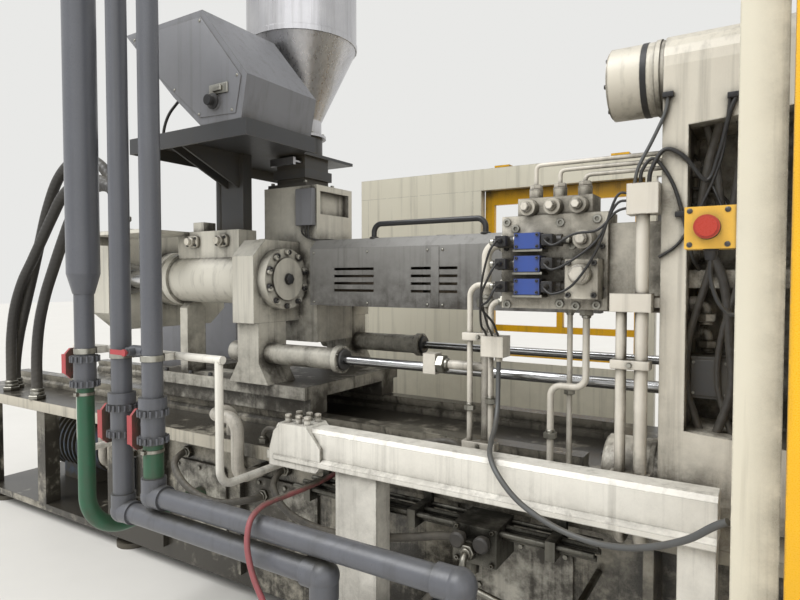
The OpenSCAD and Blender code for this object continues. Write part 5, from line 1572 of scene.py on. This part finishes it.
@dataclass
class ClampDrive(Assembly):
    """Clamping cylinder with its ram, prefill block and pipes."""

    coats: Coats = ((CREAM_ENAMEL, "clamp_cylinder"), (HARD_CHROME, "clamp_ram piston_rods"))
    cover_x: float = 3.42
    pipe_y: float = -0.45
    pipe_runs: tuple[tuple[float, float], ...] = ((3.34, 0.048), (3.50, 0.034))

    def build(self) -> None:
        """Dresses the cylinder and adds its screws, prefill cover and pipes to the bed."""
        self.dress()
        heads = [
            set_on(cap_screw(width, 0.0305), RIGHT, ring_of((x, 0, 0), RIGHT, radius, 12, -75))
            for x, radius, width in ((3.1155, 0.345, 0.0475), (4.0955, 0.305, 0.0415))
        ]
        self.add("clamp_cylinder_screws", heads, OIL_BLACK_STEEL)
        x = self.cover_x
        plate = plate_form((0.28, 0.24), 0.02, 0.022, 0.003).moved((x, 0, 0.4195))
        neck = lathe([(0.075, 0), (0.075, 0.03), (0.055, 0.035), (0.055, 0.07)], 28)
        self.add("prefill_cover", [plate, neck.moved((x, 0, 0.441))], CREAM_ENAMEL)
        screws = [
            set_on(
                cap_screw(0.022, 0.014), UP,
                spread([x - 0.11, x, x + 0.11], [-0.09, 0.09], [0.441]),
            ),
            set_on(cap_screw(0.014, 0.009), UP, ring_of((x, 0, 0.4695), UP, 0.065, 6, 0)),
        ]
        self.add("prefill_screws", screws, OIL_BLACK_STEEL)
        pipes, y = [], self.pipe_y
        for x, width in self.pipe_runs:
            pipes.append(pipe([(x, -0.129, 0.34), (x, y, 0.34), (x, y, -0.7605)], width, 0.09, 20))
            pipes.append(set_on(union_nut(width / 2), NEAR, [(x, -0.1295, 0.34)]))
            pipes.append(set_on(union_nut(width / 2), UP, [(x, y, -0.7605)]))
        self.add("clamp_pipes", pipes, PIPE_ENAMEL)
        clamp = [
            box_form((3.30, y - 0.038, z - 0.02), (3.535, y + 0.038, z + 0.02), 0.006)
            for z in (0.12, -0.42)
        ]
        self.add("clamp_pipe_blocks", clamp, ZINC_PLATE)


@dataclass
class Bed(Assembly):
    """Clamp bed, injection bed with the oil tank, levelling pads, and what lies on the deck."""

    coats: Coats = ((OILY_BED_ENAMEL, "clamp_bed injection_bed"), (DARK_ENAMEL, "levelling_pads"))
    deck: float = -0.72

    def build(self) -> None:
        """Dresses the beds and adds jack nuts, tank covers, gauge, filler and deck lines."""
        self.dress()
        pads = np.vstack([spread([-0.3, 1.3, 2.85, 4.13], [-0.52, 0.52], [-1.4405]),
                          spread([-4.6, -3.2, -1.5], [-0.43, 0.43], [-1.4405])])
        nut = lathe([(0.046, 0), (0.05, 0.004), (0.05, 0.024), (0.046, 0.028)], 24, 6)
        self.stand("levelling_nuts", nut, DOWN, pads, OIL_BLACK_STEEL)
        self._tank()
        self._filler()
        self._deck_lines()

    def _tank(self) -> None:
        """Adds screwed inspection covers and a level gauge on the tank's sides."""
        covers, screws = [], []
        plate = plate_form((0.36, 0.40), 0.04, 0.014, 0.003)
        for x in (-2.51, -1.95, -0.86):
            for side, y in ((NEAR, -0.5195), (FAR, 0.5195)):
                covers.append(plate.turned((1, 0, 0), side).moved((x, y, -1.10)))
                rim = spread(
                    [x - 0.155, x, x + 0.155], [y + side[1] * 0.0135], [-1.275, -1.10, -0.925],
                )
                # Eight bolts stand round the rim; the ninth place is the cover's middle.
                screws.append(set_on(hex_head(0.016, 0.010), side, rim[np.arange(9) != 4]))
        self.add("tank_covers", covers, HANDLED_ENAMEL)
        self.add("tank_cover_screws", screws, ZINC_PLATE)
        glass = box_form((-3.055, -0.540, -1.18), (-3.025, -0.528, -0.96), 0.003)
        self.add("oil_level_glass", [glass], DARK_GLASS)
        self.stand(
            "oil_level_banjos", hex_head(0.024, 0.030), NEAR,
            spread([-3.04], [-0.5195], [-1.20, -0.94]), ZINC_PLATE,
        )

    def _filler(self) -> None:
        """Adds the filler cap and the air filter at the far edge of the deck."""
        cap = lathe([
            (0.055, 0), (0.055, 0.03), (0.066, 0.034), (0.066, 0.075), (0.058, 0.084),
            (0.02, 0.088),
        ], 32)
        spots = [(-3.42, 0.52, self.deck - 0.0005)]
        self.stand("oil_filler_cap", cap, UP, spots, BLACK_NYLON)
        breather = lathe(
            [(0.03, 0), (0.03, 0.05), (0.07, 0.055), (0.075, 0.062), (0.075, 0.13), (0.06, 0.145)],
            32,
        )
        self.stand("tank_air_filter", breather, UP, [(-3.62, 0.52, self.deck - 0.0005)], ZINC_PLATE)

    def _deck_lines(self) -> None:
        """Adds the tubes, hoses and clips that run along the near edge of the deck."""
        z = self.deck
        tubes = []
        for number, (y, width, end) in enumerate(
            ((-0.500, 0.022, -1.90), (-0.532, 0.016, -1.72), (-0.560, 0.018, -2.00))
        ):
            tubes.append(
                pipe([
                    (-0.56 - 0.03 * number, y, z - 0.001),
                    (-0.56 - 0.03 * number, y, z + 0.03 + 0.004 * number),
                    (end, y, z + 0.03 + 0.004 * number), (end, y, z - 0.001),
                ], width, 0.022, 12)
            )
        self.add("deck_tubes", tubes, OILY_TUBE)
        clips = [box_form((x - 0.014, -0.575, z - 0.0005), (x + 0.014, -0.485, z + 0.046), 0.004)
                 for x in (-0.84, -1.30, -1.66)]
        self.add("deck_tube_clips", clips, BLACK_NYLON)
        hoses = [
            lead([
                (-1.10, -0.500, z - 0.001), (-1.102, -0.502, z + 0.075),
                (-1.16, -0.510, z + 0.112), (-1.32, -0.530, z + 0.085),
                (-1.52, -0.548, z + 0.064), (-1.70, -0.560, z + 0.075),
                (-1.83, -0.562, z + 0.110), (-1.905, -0.560, z + 0.080),
                (-1.91, -0.560, z - 0.001),
            ], 0.026, 14),
            lead([
                (-1.245, -0.588, z - 0.001), (-1.247, -0.590, z + 0.055),
                (-1.30, -0.594, z + 0.080), (-1.46, -0.600, z + 0.036),
                (-1.64, -0.602, z + 0.016), (-1.82, -0.600, z + 0.022),
                (-1.96, -0.594, z + 0.070), (-2.02, -0.590, z + 0.050),
                (-2.025, -0.590, z - 0.001),
            ], 0.022, 14),
        ]
        self.add("deck_hoses", hoses, WRAPPED_RUBBER)
        ends = [(-1.10, -0.500), (-1.91, -0.560), (-1.245, -0.588), (-2.025, -0.590)]
        self.stand(
            "deck_hose_nuts", union_nut(0.0125), UP, [(x, y, z - 0.0005) for x, y in ends],
            ZINC_PLATE,
        )


@dataclass
class InjectionUnit(Assembly):
    """Carriage with barrel, cylinders, crosshead and screw drive."""

    body: str = "carriage"
    coats: Coats = (
        (HANDLED_ENAMEL, "carriage_base feed_housing injection_cylinders crosshead"),
        (PLATE_GREY, "screw_motor"),
        (BAKED_SHEET, "barrel_cover"),
        (BLACK_POWDER, "cover_handle"),
        (NITRIDED_STEEL, "barrel nozzle screw"),
        (HEATER_SHEET, "heater_bands"),
        (HARD_CHROME, "carriage_rods"),
    )
    pitch: float = 0.300
    cover_screws: tuple[float, ...] = (-2.06, -1.74, -1.42, -1.345, -1.02, -0.70)

    def build(self) -> None:
        """Dresses the unit and adds its screws, ports, cover strips, glands and nuts."""
        self.dress()
        centres = spread([-2.1465], [-self.pitch, self.pitch], [0.0])
        rim = ring_of(centres, RIGHT, 0.1305, 10, -75)
        heads = [set_on(cap_screw(0.0255, 0.0165), RIGHT, rim)]
        heads.append(set_on(hex_head(0.045, 0.018), RIGHT, centres + (0.0095, 0, 0)))
        self.add("cylinder_flange_screws", heads, OIL_BLACK_STEEL)
        port = joined([plate_form((0.085, 0.062), 0.02, 0.020, 0.003),
                       lathe([(0.024, 0.019), (0.024, 0.034), (0.019, 0.038), (0.019, 0.055)], 24)])
        ports = [port.turned((1, 0, 0), side).copied(spread([-2.74, -2.52], [y], [0.195]))
                 for side, y in ((NEAR, -0.3595), (FAR, 0.3595))]
        self.add("cylinder_ports", ports, CREAM_ENAMEL)
        bolts = [
            set_on(
                cap_screw(0.012, 0.008), side,
                spread([-2.77, -2.71, -2.55, -2.49], [y], [0.176, 0.214]),
            )
            for side, y in ((NEAR, -0.379), (FAR, 0.379))
        ]
        self.add("cylinder_port_screws", bolts, OIL_BLACK_STEEL)
        self._cover()
        wiper = collar(0.0202, 0.047, 0.016)
        glands = spread([-1.7605], [-0.36, 0.36], [-0.36])
        self.stand("carriage_rod_wipers", wiper, RIGHT, glands, OIL_BLACK_STEEL)
        ring = ring_of(glands, RIGHT, 0.0545, 6, 0)
        self.stand("carriage_gland_screws", cap_screw(0.010, 0.006), RIGHT, ring, ZINC_PLATE)
        nuts = spread([-3.4895], [-self.pitch, self.pitch], [0.0])
        self.stand(
            "piston_rod_nuts", hex_head(0.105, 0.05), LEFT, nuts, OIL_BLACK_STEEL, "crosshead",
        )
        feet = spread([-2.95, -2.75, -2.6], [-0.385, 0.385], [-0.5005])
        self.stand("carriage_screws", cap_screw(0.024, 0.016), UP, feet, OIL_BLACK_STEEL)
        self._wiring()

    def _cover(self) -> None:
        """Adds the joint strips, pan screws and handle feet of the barrel cover."""
        pan = lathe([(0.006, 0), (0.0055, 0.002), (0.003, 0.004)], 12)
        strips, screws = [], []
        for side in (-1, 1):
            y = sorted((0.1995 * side, 0.2025 * side))
            strips.append(box_form((-1.402, y[0], -0.124), (-1.362, y[1], 0.142), 0.001))
            places = spread(self.cover_screws, [0.2005 * side], [-0.112, 0.128])
            screws.append(set_on(pan, (0, side, 0), places))
        strips.append(box_form((-1.402, -0.15, 0.1925), (-1.362, 0.15, 0.1955), 0.001))
        self.add("cover_joint_strips", strips, BAKED_SHEET)
        self.add("cover_screws", screws, ZINC_PLATE)
        foot = lathe([(0.022, 0), (0.022, 0.005), (0.0135, 0.009)], 20)
        self.stand(
            "cover_handle_feet", foot, UP, spread([-1.741, -1.171], [-0.14], [0.1925]),
            BLACK_POWDER,
        )

    def _wiring(self) -> None:
        """Adds the heaters' terminal box on the feed housing and the leads below it."""
        case = box_form((-2.20, -0.1775, 0.27), (-2.09, -0.122, 0.455), 0.004)
        self.add("heater_terminal_box", [case], GREY_POWDER)
        leads = [lead([(-2.12 - 0.02 * k, -0.165, 0.272), (-2.12 - 0.02 * k, -0.172, 0.235),
                       (-2.11, -0.170 - 0.004 * k, 0.205), (-2.075, -0.14 + 0.02 * k, 0.196),
                       (-2.03, -0.12 + 0.02 * k, 0.1965), (-1.97, -0.11 + 0.02 * k, 0.188)], 0.009)
                 for k in range(3)]
        self.add("heater_leads", leads, BLACK_JACKET)


@dataclass
class FeedTower(Assembly):
    """Throat stack, shelf, dosing unit and hopper."""

    body: str = "carriage"
    coats: Coats = (
        (DARK_ENAMEL, "throat_stack"),
        (GREY_POWDER, "dosing_box"),
        (BRUSHED_STAINLESS, "hopper hopper_lid hopper_slide"),
    )
    axis_x: float = -2.3

    def build(self) -> None:
        """Dresses the tower and adds its hoops, latches, screws and the dosing unit's front."""
        self.dress()
        x = self.axis_x
        hoops = [
            collar(0.2885, 0.2935, 0.028).moved((x, 0, 1.222)),
            collar(0.2985, 0.3025, 0.012).moved((x, 0, 1.634)),
        ]
        self.add("hopper_hoops", hoops, BRUSHED_STAINLESS)
        rim = ring_of((x, 0, 0.7645), UP, 0.112, 8, 22.5)
        self.stand("hopper_flange_screws", hex_head(0.013, 0.009), UP, rim, ZINC_PLATE)
        hooks = []
        for angle in (200.0, 250.0, 340.0):
            a = math.radians(angle)
            out = (math.cos(a), math.sin(a), 0.0)
            plate = plate_form((0.034, 0.075), 0.006, 0.010, 0.002)
            bow = tube(
                bent_path([
                    (-0.012, -0.03, 0.009), (-0.012, 0.045, 0.016), (0.012, 0.045, 0.016),
                    (0.012, -0.03, 0.009),
                ], 0.01),
                0.0025, 8,
            )
            latch = joined([plate, bow]).turned((out[1], -out[0], 0.0), out)
            hooks.append(latch.moved((x + out[0] * 0.2895, out[1] * 0.2895, 1.585)))
        self.add("hopper_latches", hooks, ZINC_PLATE)
        stack = spread([x - 0.112, x + 0.112], [-0.112, 0.112], [0.4945])
        self.stand("throat_screws", cap_screw(0.02, 0.014), UP, stack, ZINC_PLATE)
        self._dosing()

    def _dosing(self) -> None:
        """Adds the screwed front plate, latch, knob and cable of the dosing unit."""
        outline = np.array([
            (-2.700, 1.122), (-2.574, 0.975), (-2.400, 0.828), (-2.230, 0.690), (-2.016, 0.680),
            (-1.982, 0.826), (-2.220, 1.112),
        ]) - (self.axis_x, 0.9)
        plate = slab(outline, 0.004, 0.001).turned((1, 0, 0), NEAR)
        plate = plate.moved((self.axis_x, -0.7405, 0.9))
        self.add("dosing_front_plate", [plate], GREY_POWDER)
        spots = outline * 0.93 + (self.axis_x, 0.9)
        self.stand(
            "dosing_screws", lathe([(0.0065, 0), (0.006, 0.002), (0.003, 0.0045)], 12), NEAR,
            [(px, -0.7442, pz) for px, pz in spots], ZINC_PLATE,
        )
        latch = [box_form((-2.165, -0.752, 0.770), (-2.055, -0.7435, 0.812), 0.004),
                 box_form((-2.135, -0.762, 0.780), (-2.085, -0.7515, 0.802), 0.004)]
        self.add("dosing_latch", latch, ZINC_PLATE)
        grip = lathe([
            (0.033, 0), (0.033, 0.006), (0.021, 0.010), (0.019, 0.024), (0.023, 0.028),
            (0.021, 0.034),
        ], 28)
        self.stand("dosing_knob", grip, NEAR, [(-2.13, -0.7595, 0.740)], BLACK_NYLON)
        cable = lead([
            (-2.66, -0.60, 0.655), (-2.662, -0.60, 0.72), (-2.64, -0.585, 0.80),
            (-2.595, -0.55, 0.88), (-2.57, -0.52, 0.955),
        ], 0.014)
        self.add("dosing_cable", [cable], BLACK_JACKET)


@dataclass
class WaterSupply(Assembly):
    """Grey risers and headers with their valves, levers, green hoses and bows."""

    coats: Coats = (
        (GREY_PVC, "water_pipes ball_valves"),
        (GREEN_RUBBER, "green_hoses"),
        (RED_VINYL, "lever_1 lever_2 lever_3 lever_4"),
    )
    risers: tuple[float, ...] = (-2.5, -2.256, -2.069)
    stems: tuple[float, ...] = (-0.372, -0.540, -0.540)
    y: float = -1.110

    def build(self) -> None:
        """Dresses the pipes and adds union ribs, hose clips and the risers' bows."""
        self.dress()
        rib = lathe([(0.0042, 0), (0.0048, 0.002), (0.0048, 0.022), (0.0042, 0.024)], 8)
        ribs = [
            rib.copied(ring_of((x, self.y, low), UP, 0.0525, 16, 0))
            for x, z in zip(self.risers, self.stems)
            for low in (z - 0.062, z + 0.038)
        ]
        self.add("union_ribs", ribs, GREY_PVC)
        clips = []
        for riser, bore in ((0, 0.0325), (2, 0.0355)):
            x, r, z = self.risers[riser], bore + 0.0035, self.stems[riser]
            clips.append(collar(bore, bore + 0.003, 0.012).moved((x, self.y, z - 0.098)))
            clips.append(
                box_form(
                    (x - 0.008, self.y - r - 0.010, z - 0.099),
                    (x + 0.010, self.y - r + 0.003, z - 0.085), 0.002,
                )
            )
        self.add("hose_clips", clips, ZINC_PLATE)
        bows = [collar(0.0385, 0.0415, 0.022).moved((x, self.y, -0.301)) for x in self.risers]
        self.add("riser_bows", bows, ZINC_PLATE)


@dataclass
class SideBeam(Assembly):
    """White beam on its posts, with the tube bundle and valve block under the deck."""

    coats: Coats = ((BEAM_ENAMEL, "side_beam"), (OILY_TUBE, "tube_bundle"))

    def build(self) -> None:
        """Dresses the beam and adds its bolts, the block's knobs and the lines below it."""
        self.dress()
        bolts = spread([-1.65, -1.60, -1.56], [-0.84, -0.78], [-0.5125])
        self.stand("beam_bolts", hex_head(0.022, 0.014), UP, bolts, PIPE_ENAMEL)
        knob = lathe([
            (0.012, 0), (0.012, 0.02), (0.024, 0.024), (0.026, 0.03), (0.026, 0.046),
            (0.020, 0.052),
        ], 24)
        self.stand(
            "block_knobs", knob, NEAR, [(-0.965, -0.7795, -0.82), (-0.885, -0.7795, -0.82)],
            BLACK_NYLON,
        )
        studs = spread([-0.985, -0.865], [-0.7798], [-0.895, -0.792])
        self.stand("block_screws", cap_screw(0.014, 0.009), NEAR, studs, ZINC_PLATE)
        unions = [set_on(union_nut(0.012), NEAR, [(-0.925, -0.8195, -0.845)])]
        unions.append(
            pipe([
                (-0.925, -0.82, -0.845), (-0.925, -0.868, -0.845), (-0.925, -0.868, -0.93),
                (-0.80, -0.868, -0.955), (-0.60, -0.83, -0.955), (-0.60, -0.525, -0.955),
            ], 0.022, 0.04)
        )
        self.add("block_feed_tube", unions, ZINC_PLATE)
        self._tank_hoses()

    def _tank_hoses(self) -> None:
        """Adds the three hoses on the tank's near side and the nuts at their ends."""
        hoses = [
            lead([
                (-1.95, -0.519, -0.84), (-1.948, -0.575, -0.845), (-1.90, -0.66, -0.875),
                (-1.76, -0.73, -0.925), (-1.56, -0.755, -0.945), (-1.36, -0.755, -0.925),
                (-1.20, -0.745, -0.895), (-1.08, -0.735, -0.865), (-0.999, -0.732, -0.852),
            ], 0.028, 14),
            lead([
                (-1.02, -0.519, -0.98), (-1.02, -0.58, -0.985), (-1.05, -0.66, -1.02),
                (-1.12, -0.715, -1.09), (-1.17, -0.70, -1.17), (-1.16, -0.62, -1.23),
                (-1.14, -0.519, -1.24),
            ], 0.026, 14),
            lead([
                (-2.60, -0.519, -0.86), (-2.60, -0.57, -0.862), (-2.55, -0.65, -0.89),
                (-2.40, -0.70, -0.95), (-2.22, -0.69, -0.99), (-2.10, -0.60, -0.985),
                (-2.08, -0.519, -0.98),
            ], 0.032, 14),
        ]
        self.add("tank_hoses", hoses, WRAPPED_RUBBER)
        nuts = [
            (-1.95, -0.5198, -0.84), (-1.02, -0.5198, -0.98), (-1.14, -0.5198, -1.24),
            (-2.60, -0.5198, -0.86), (-2.08, -0.5198, -0.98),
        ]
        self.stand("tank_hose_nuts", union_nut(0.0145), NEAR, nuts, ZINC_PLATE)


@dataclass
class Guards(Assembly):
    """Guard frame with the sliding gates and the purge gate."""

    coats: Coats = (
        (IVORY_ENAMEL, "guard_posts guard_rails guard_panels"),
        (YELLOW_GLOSS, "rear_gate front_gate purge_gate"),
    )
    gate: float = 1.4
    border: float = 0.09
    bar: float = 0.06
    posts: tuple[float, ...] = (-0.157, 1.33, 2.74, 4.15)

    def build(self) -> None:
        """Dresses the guards and adds window sheets, hanger bolts, anchors and rail bolts."""
        self.dress()
        wide = (self.gate - 2 * self.border - 2 * self.bar) / 3
        for body, side in (("rear_gate", -1), ("front_gate", 1)):
            y = sorted((1.226 * side, 1.231 * side))
            panes = [
                box_form(
                    (-0.019 + k * (wide + self.bar), y[0], -0.059),
                    (-0.021 + k * (wide + self.bar) + wide, y[1], 0.769), 0.0015,
                )
                for k in range(3)
            ]
            self.add(f"{body}_windows", panes, CLEAR_SHEET, body)
            bolts = spread([0.035, 0.085, 1.095, 1.145], [1.2498 * side], [0.915])
            self.stand(
                f"{body}_bolts", hex_head(0.018, 0.009), (0, side, 0), bolts, ZINC_PLATE, body,
            )
        feet = [
            (x + dx, y, -1.4885)
            for x in self.posts
            for dx in (-0.063, 0.063)
            for y in (-1.214, 1.214)
        ]
        self.stand("guard_anchors", hex_head(0.016, 0.014), UP, feet, ZINC_PLATE)
        rail = spread(self.posts, [-1.1998], [0.925, 0.957])
        self.stand("guard_rail_bolts", hex_head(0.016, 0.008), NEAR, rail, ZINC_PLATE)


@dataclass
class PumpSet(Assembly):
    """Electric motor and pump in the bay under the deck."""

    coats: Coats = (
        (MOTOR_BLUE, "pump_motor"), (CAST_SKIN, "hydraulic_pump"), (OIL_BLACK_STEEL, "motor_rotor"),
    )
    axis_z: float = -1.15
    box_height: float = 0.27
    port: tuple[float, float] = (-3.65, -0.2395)

    def build(self) -> None:
        """Dresses the set and adds the terminal box's screws and the pressure pipe."""
        self.dress()
        top = self.axis_z + self.box_height
        screws = spread([-4.325, -4.135], [-0.075, 0.075], [top - 0.0005])
        self.stand("terminal_box_screws", cap_screw(0.012, 0.006), UP, screws, ZINC_PLATE)
        x, y = self.port
        run = [(x, y, self.axis_z), (x, -0.33, self.axis_z), (x, -0.33, -0.7495)]
        nut = set_on(union_nut(0.025), NEAR, [(x, y, self.axis_z)])
        lines = [pipe(run, 0.05, 0.06, 18), nut]
        self.add("pump_pressure_pipe", lines, PIPE_ENAMEL)


@dataclass
class Controls(Assembly):
    """Electric cabinet with its door, and the swivelling operator's panel."""

    coats: Coats = ((GREY_POWDER, "electric_cabinet cabinet_door control_panel"),)
    door_face: float = 1.0855
    switch: tuple[float, float] = (-3.80, -0.10)
    panel_face: float = 1.3548

    def build(self) -> None:
        """Dresses both and adds the switch, lamps, vents, hinges, display and panel's keys."""
        self.dress()
        face = self.door_face
        slats = [box_form((-4.25, face, low), (-3.90, face + 0.006, low + 0.018), 0.003)
                 for low in np.arange(7) * 0.035 - 1.30]
        self.add("cabinet_vent_slats", slats, GREY_POWDER, "cabinet_door")
        x, z = self.switch
        plate = plate_form((0.09, 0.09), 0.01, 0.006, 0.002).turned((1, 0, 0), FAR)
        plate = plate.moved((x, face, z))
        self.add("main_switch_plate", [plate], SWITCH_YELLOW, "cabinet_door")
        grip = joined([
            lathe([(0.032, 0), (0.030, 0.016), (0.026, 0.018)], 28),
            plate_form((0.016, 0.06), 0.006, 0.018, 0.002).moved((0, 0, 0.015)),
        ])
        self.stand(
            "main_switch_grip", grip, FAR, [(x, face + 0.0055, z)], RED_ABS, "cabinet_door",
        )
        lens = lathe(
            [(0.016, 0), (0.016, 0.006), (0.0115, 0.007), (0.011, 0.012), (0.006, 0.015)], 24,
        )
        lamps = [(x - 0.12, face, z), (x - 0.18, face, z)]
        self.stand("cabinet_lamp", lens, FAR, lamps, ZINC_PLATE, "cabinet_door")
        hinge = lathe([(0.010, 0), (0.011, 0.002), (0.011, 0.096), (0.010, 0.098)], 16)
        self.stand(
            "cabinet_hinges", hinge, UP, spread([-4.6005], [1.0870], [-1.2, -0.6, 0.0]), ZINC_PLATE,
        )
        screen = plate_form((0.296, 0.216), 0.006, 0.0045, 0.001).turned((1, 0, 0), FAR)
        screen = screen.moved((-0.507, self.panel_face + 0.010, 0.280))
        self.add("panel_display", [screen], DARK_GLASS, "control_panel")
        stop = lathe(
            [(0.012, 0), (0.012, 0.008), (0.02, 0.010), (0.021, 0.018), (0.017, 0.022)], 24,
        )
        self.stand(
            "panel_stop_button", stop, FAR, [(-0.335, self.panel_face, 0.02)], RED_ABS,
            "control_panel",
        )
        self.stand(
            "panel_key_switch", cap_screw(0.024, 0.008), FAR, [(-0.335, self.panel_face, -0.05)],
            ZINC_PLATE, "control_panel",
        )


def main() -> None:
    """Builds the scene and reports each piece."""
    logging.basicConfig(level=logging.INFO, format="%(message)s")
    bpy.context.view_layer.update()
    parts = (
        Studio(), PressureHoses(), SWITCH_CABLE, WATER_HOSE, Bed(), Platens(), ClampDrive(),
        PumpSet(), InjectionUnit(), FeedTower(), ValveStation(), SideBeam(), WaterSupply(),
        Guards(), StopStation(), Controls(),
    )
    for part in parts:
        part.build()


if __name__ == "__main__":
    main()
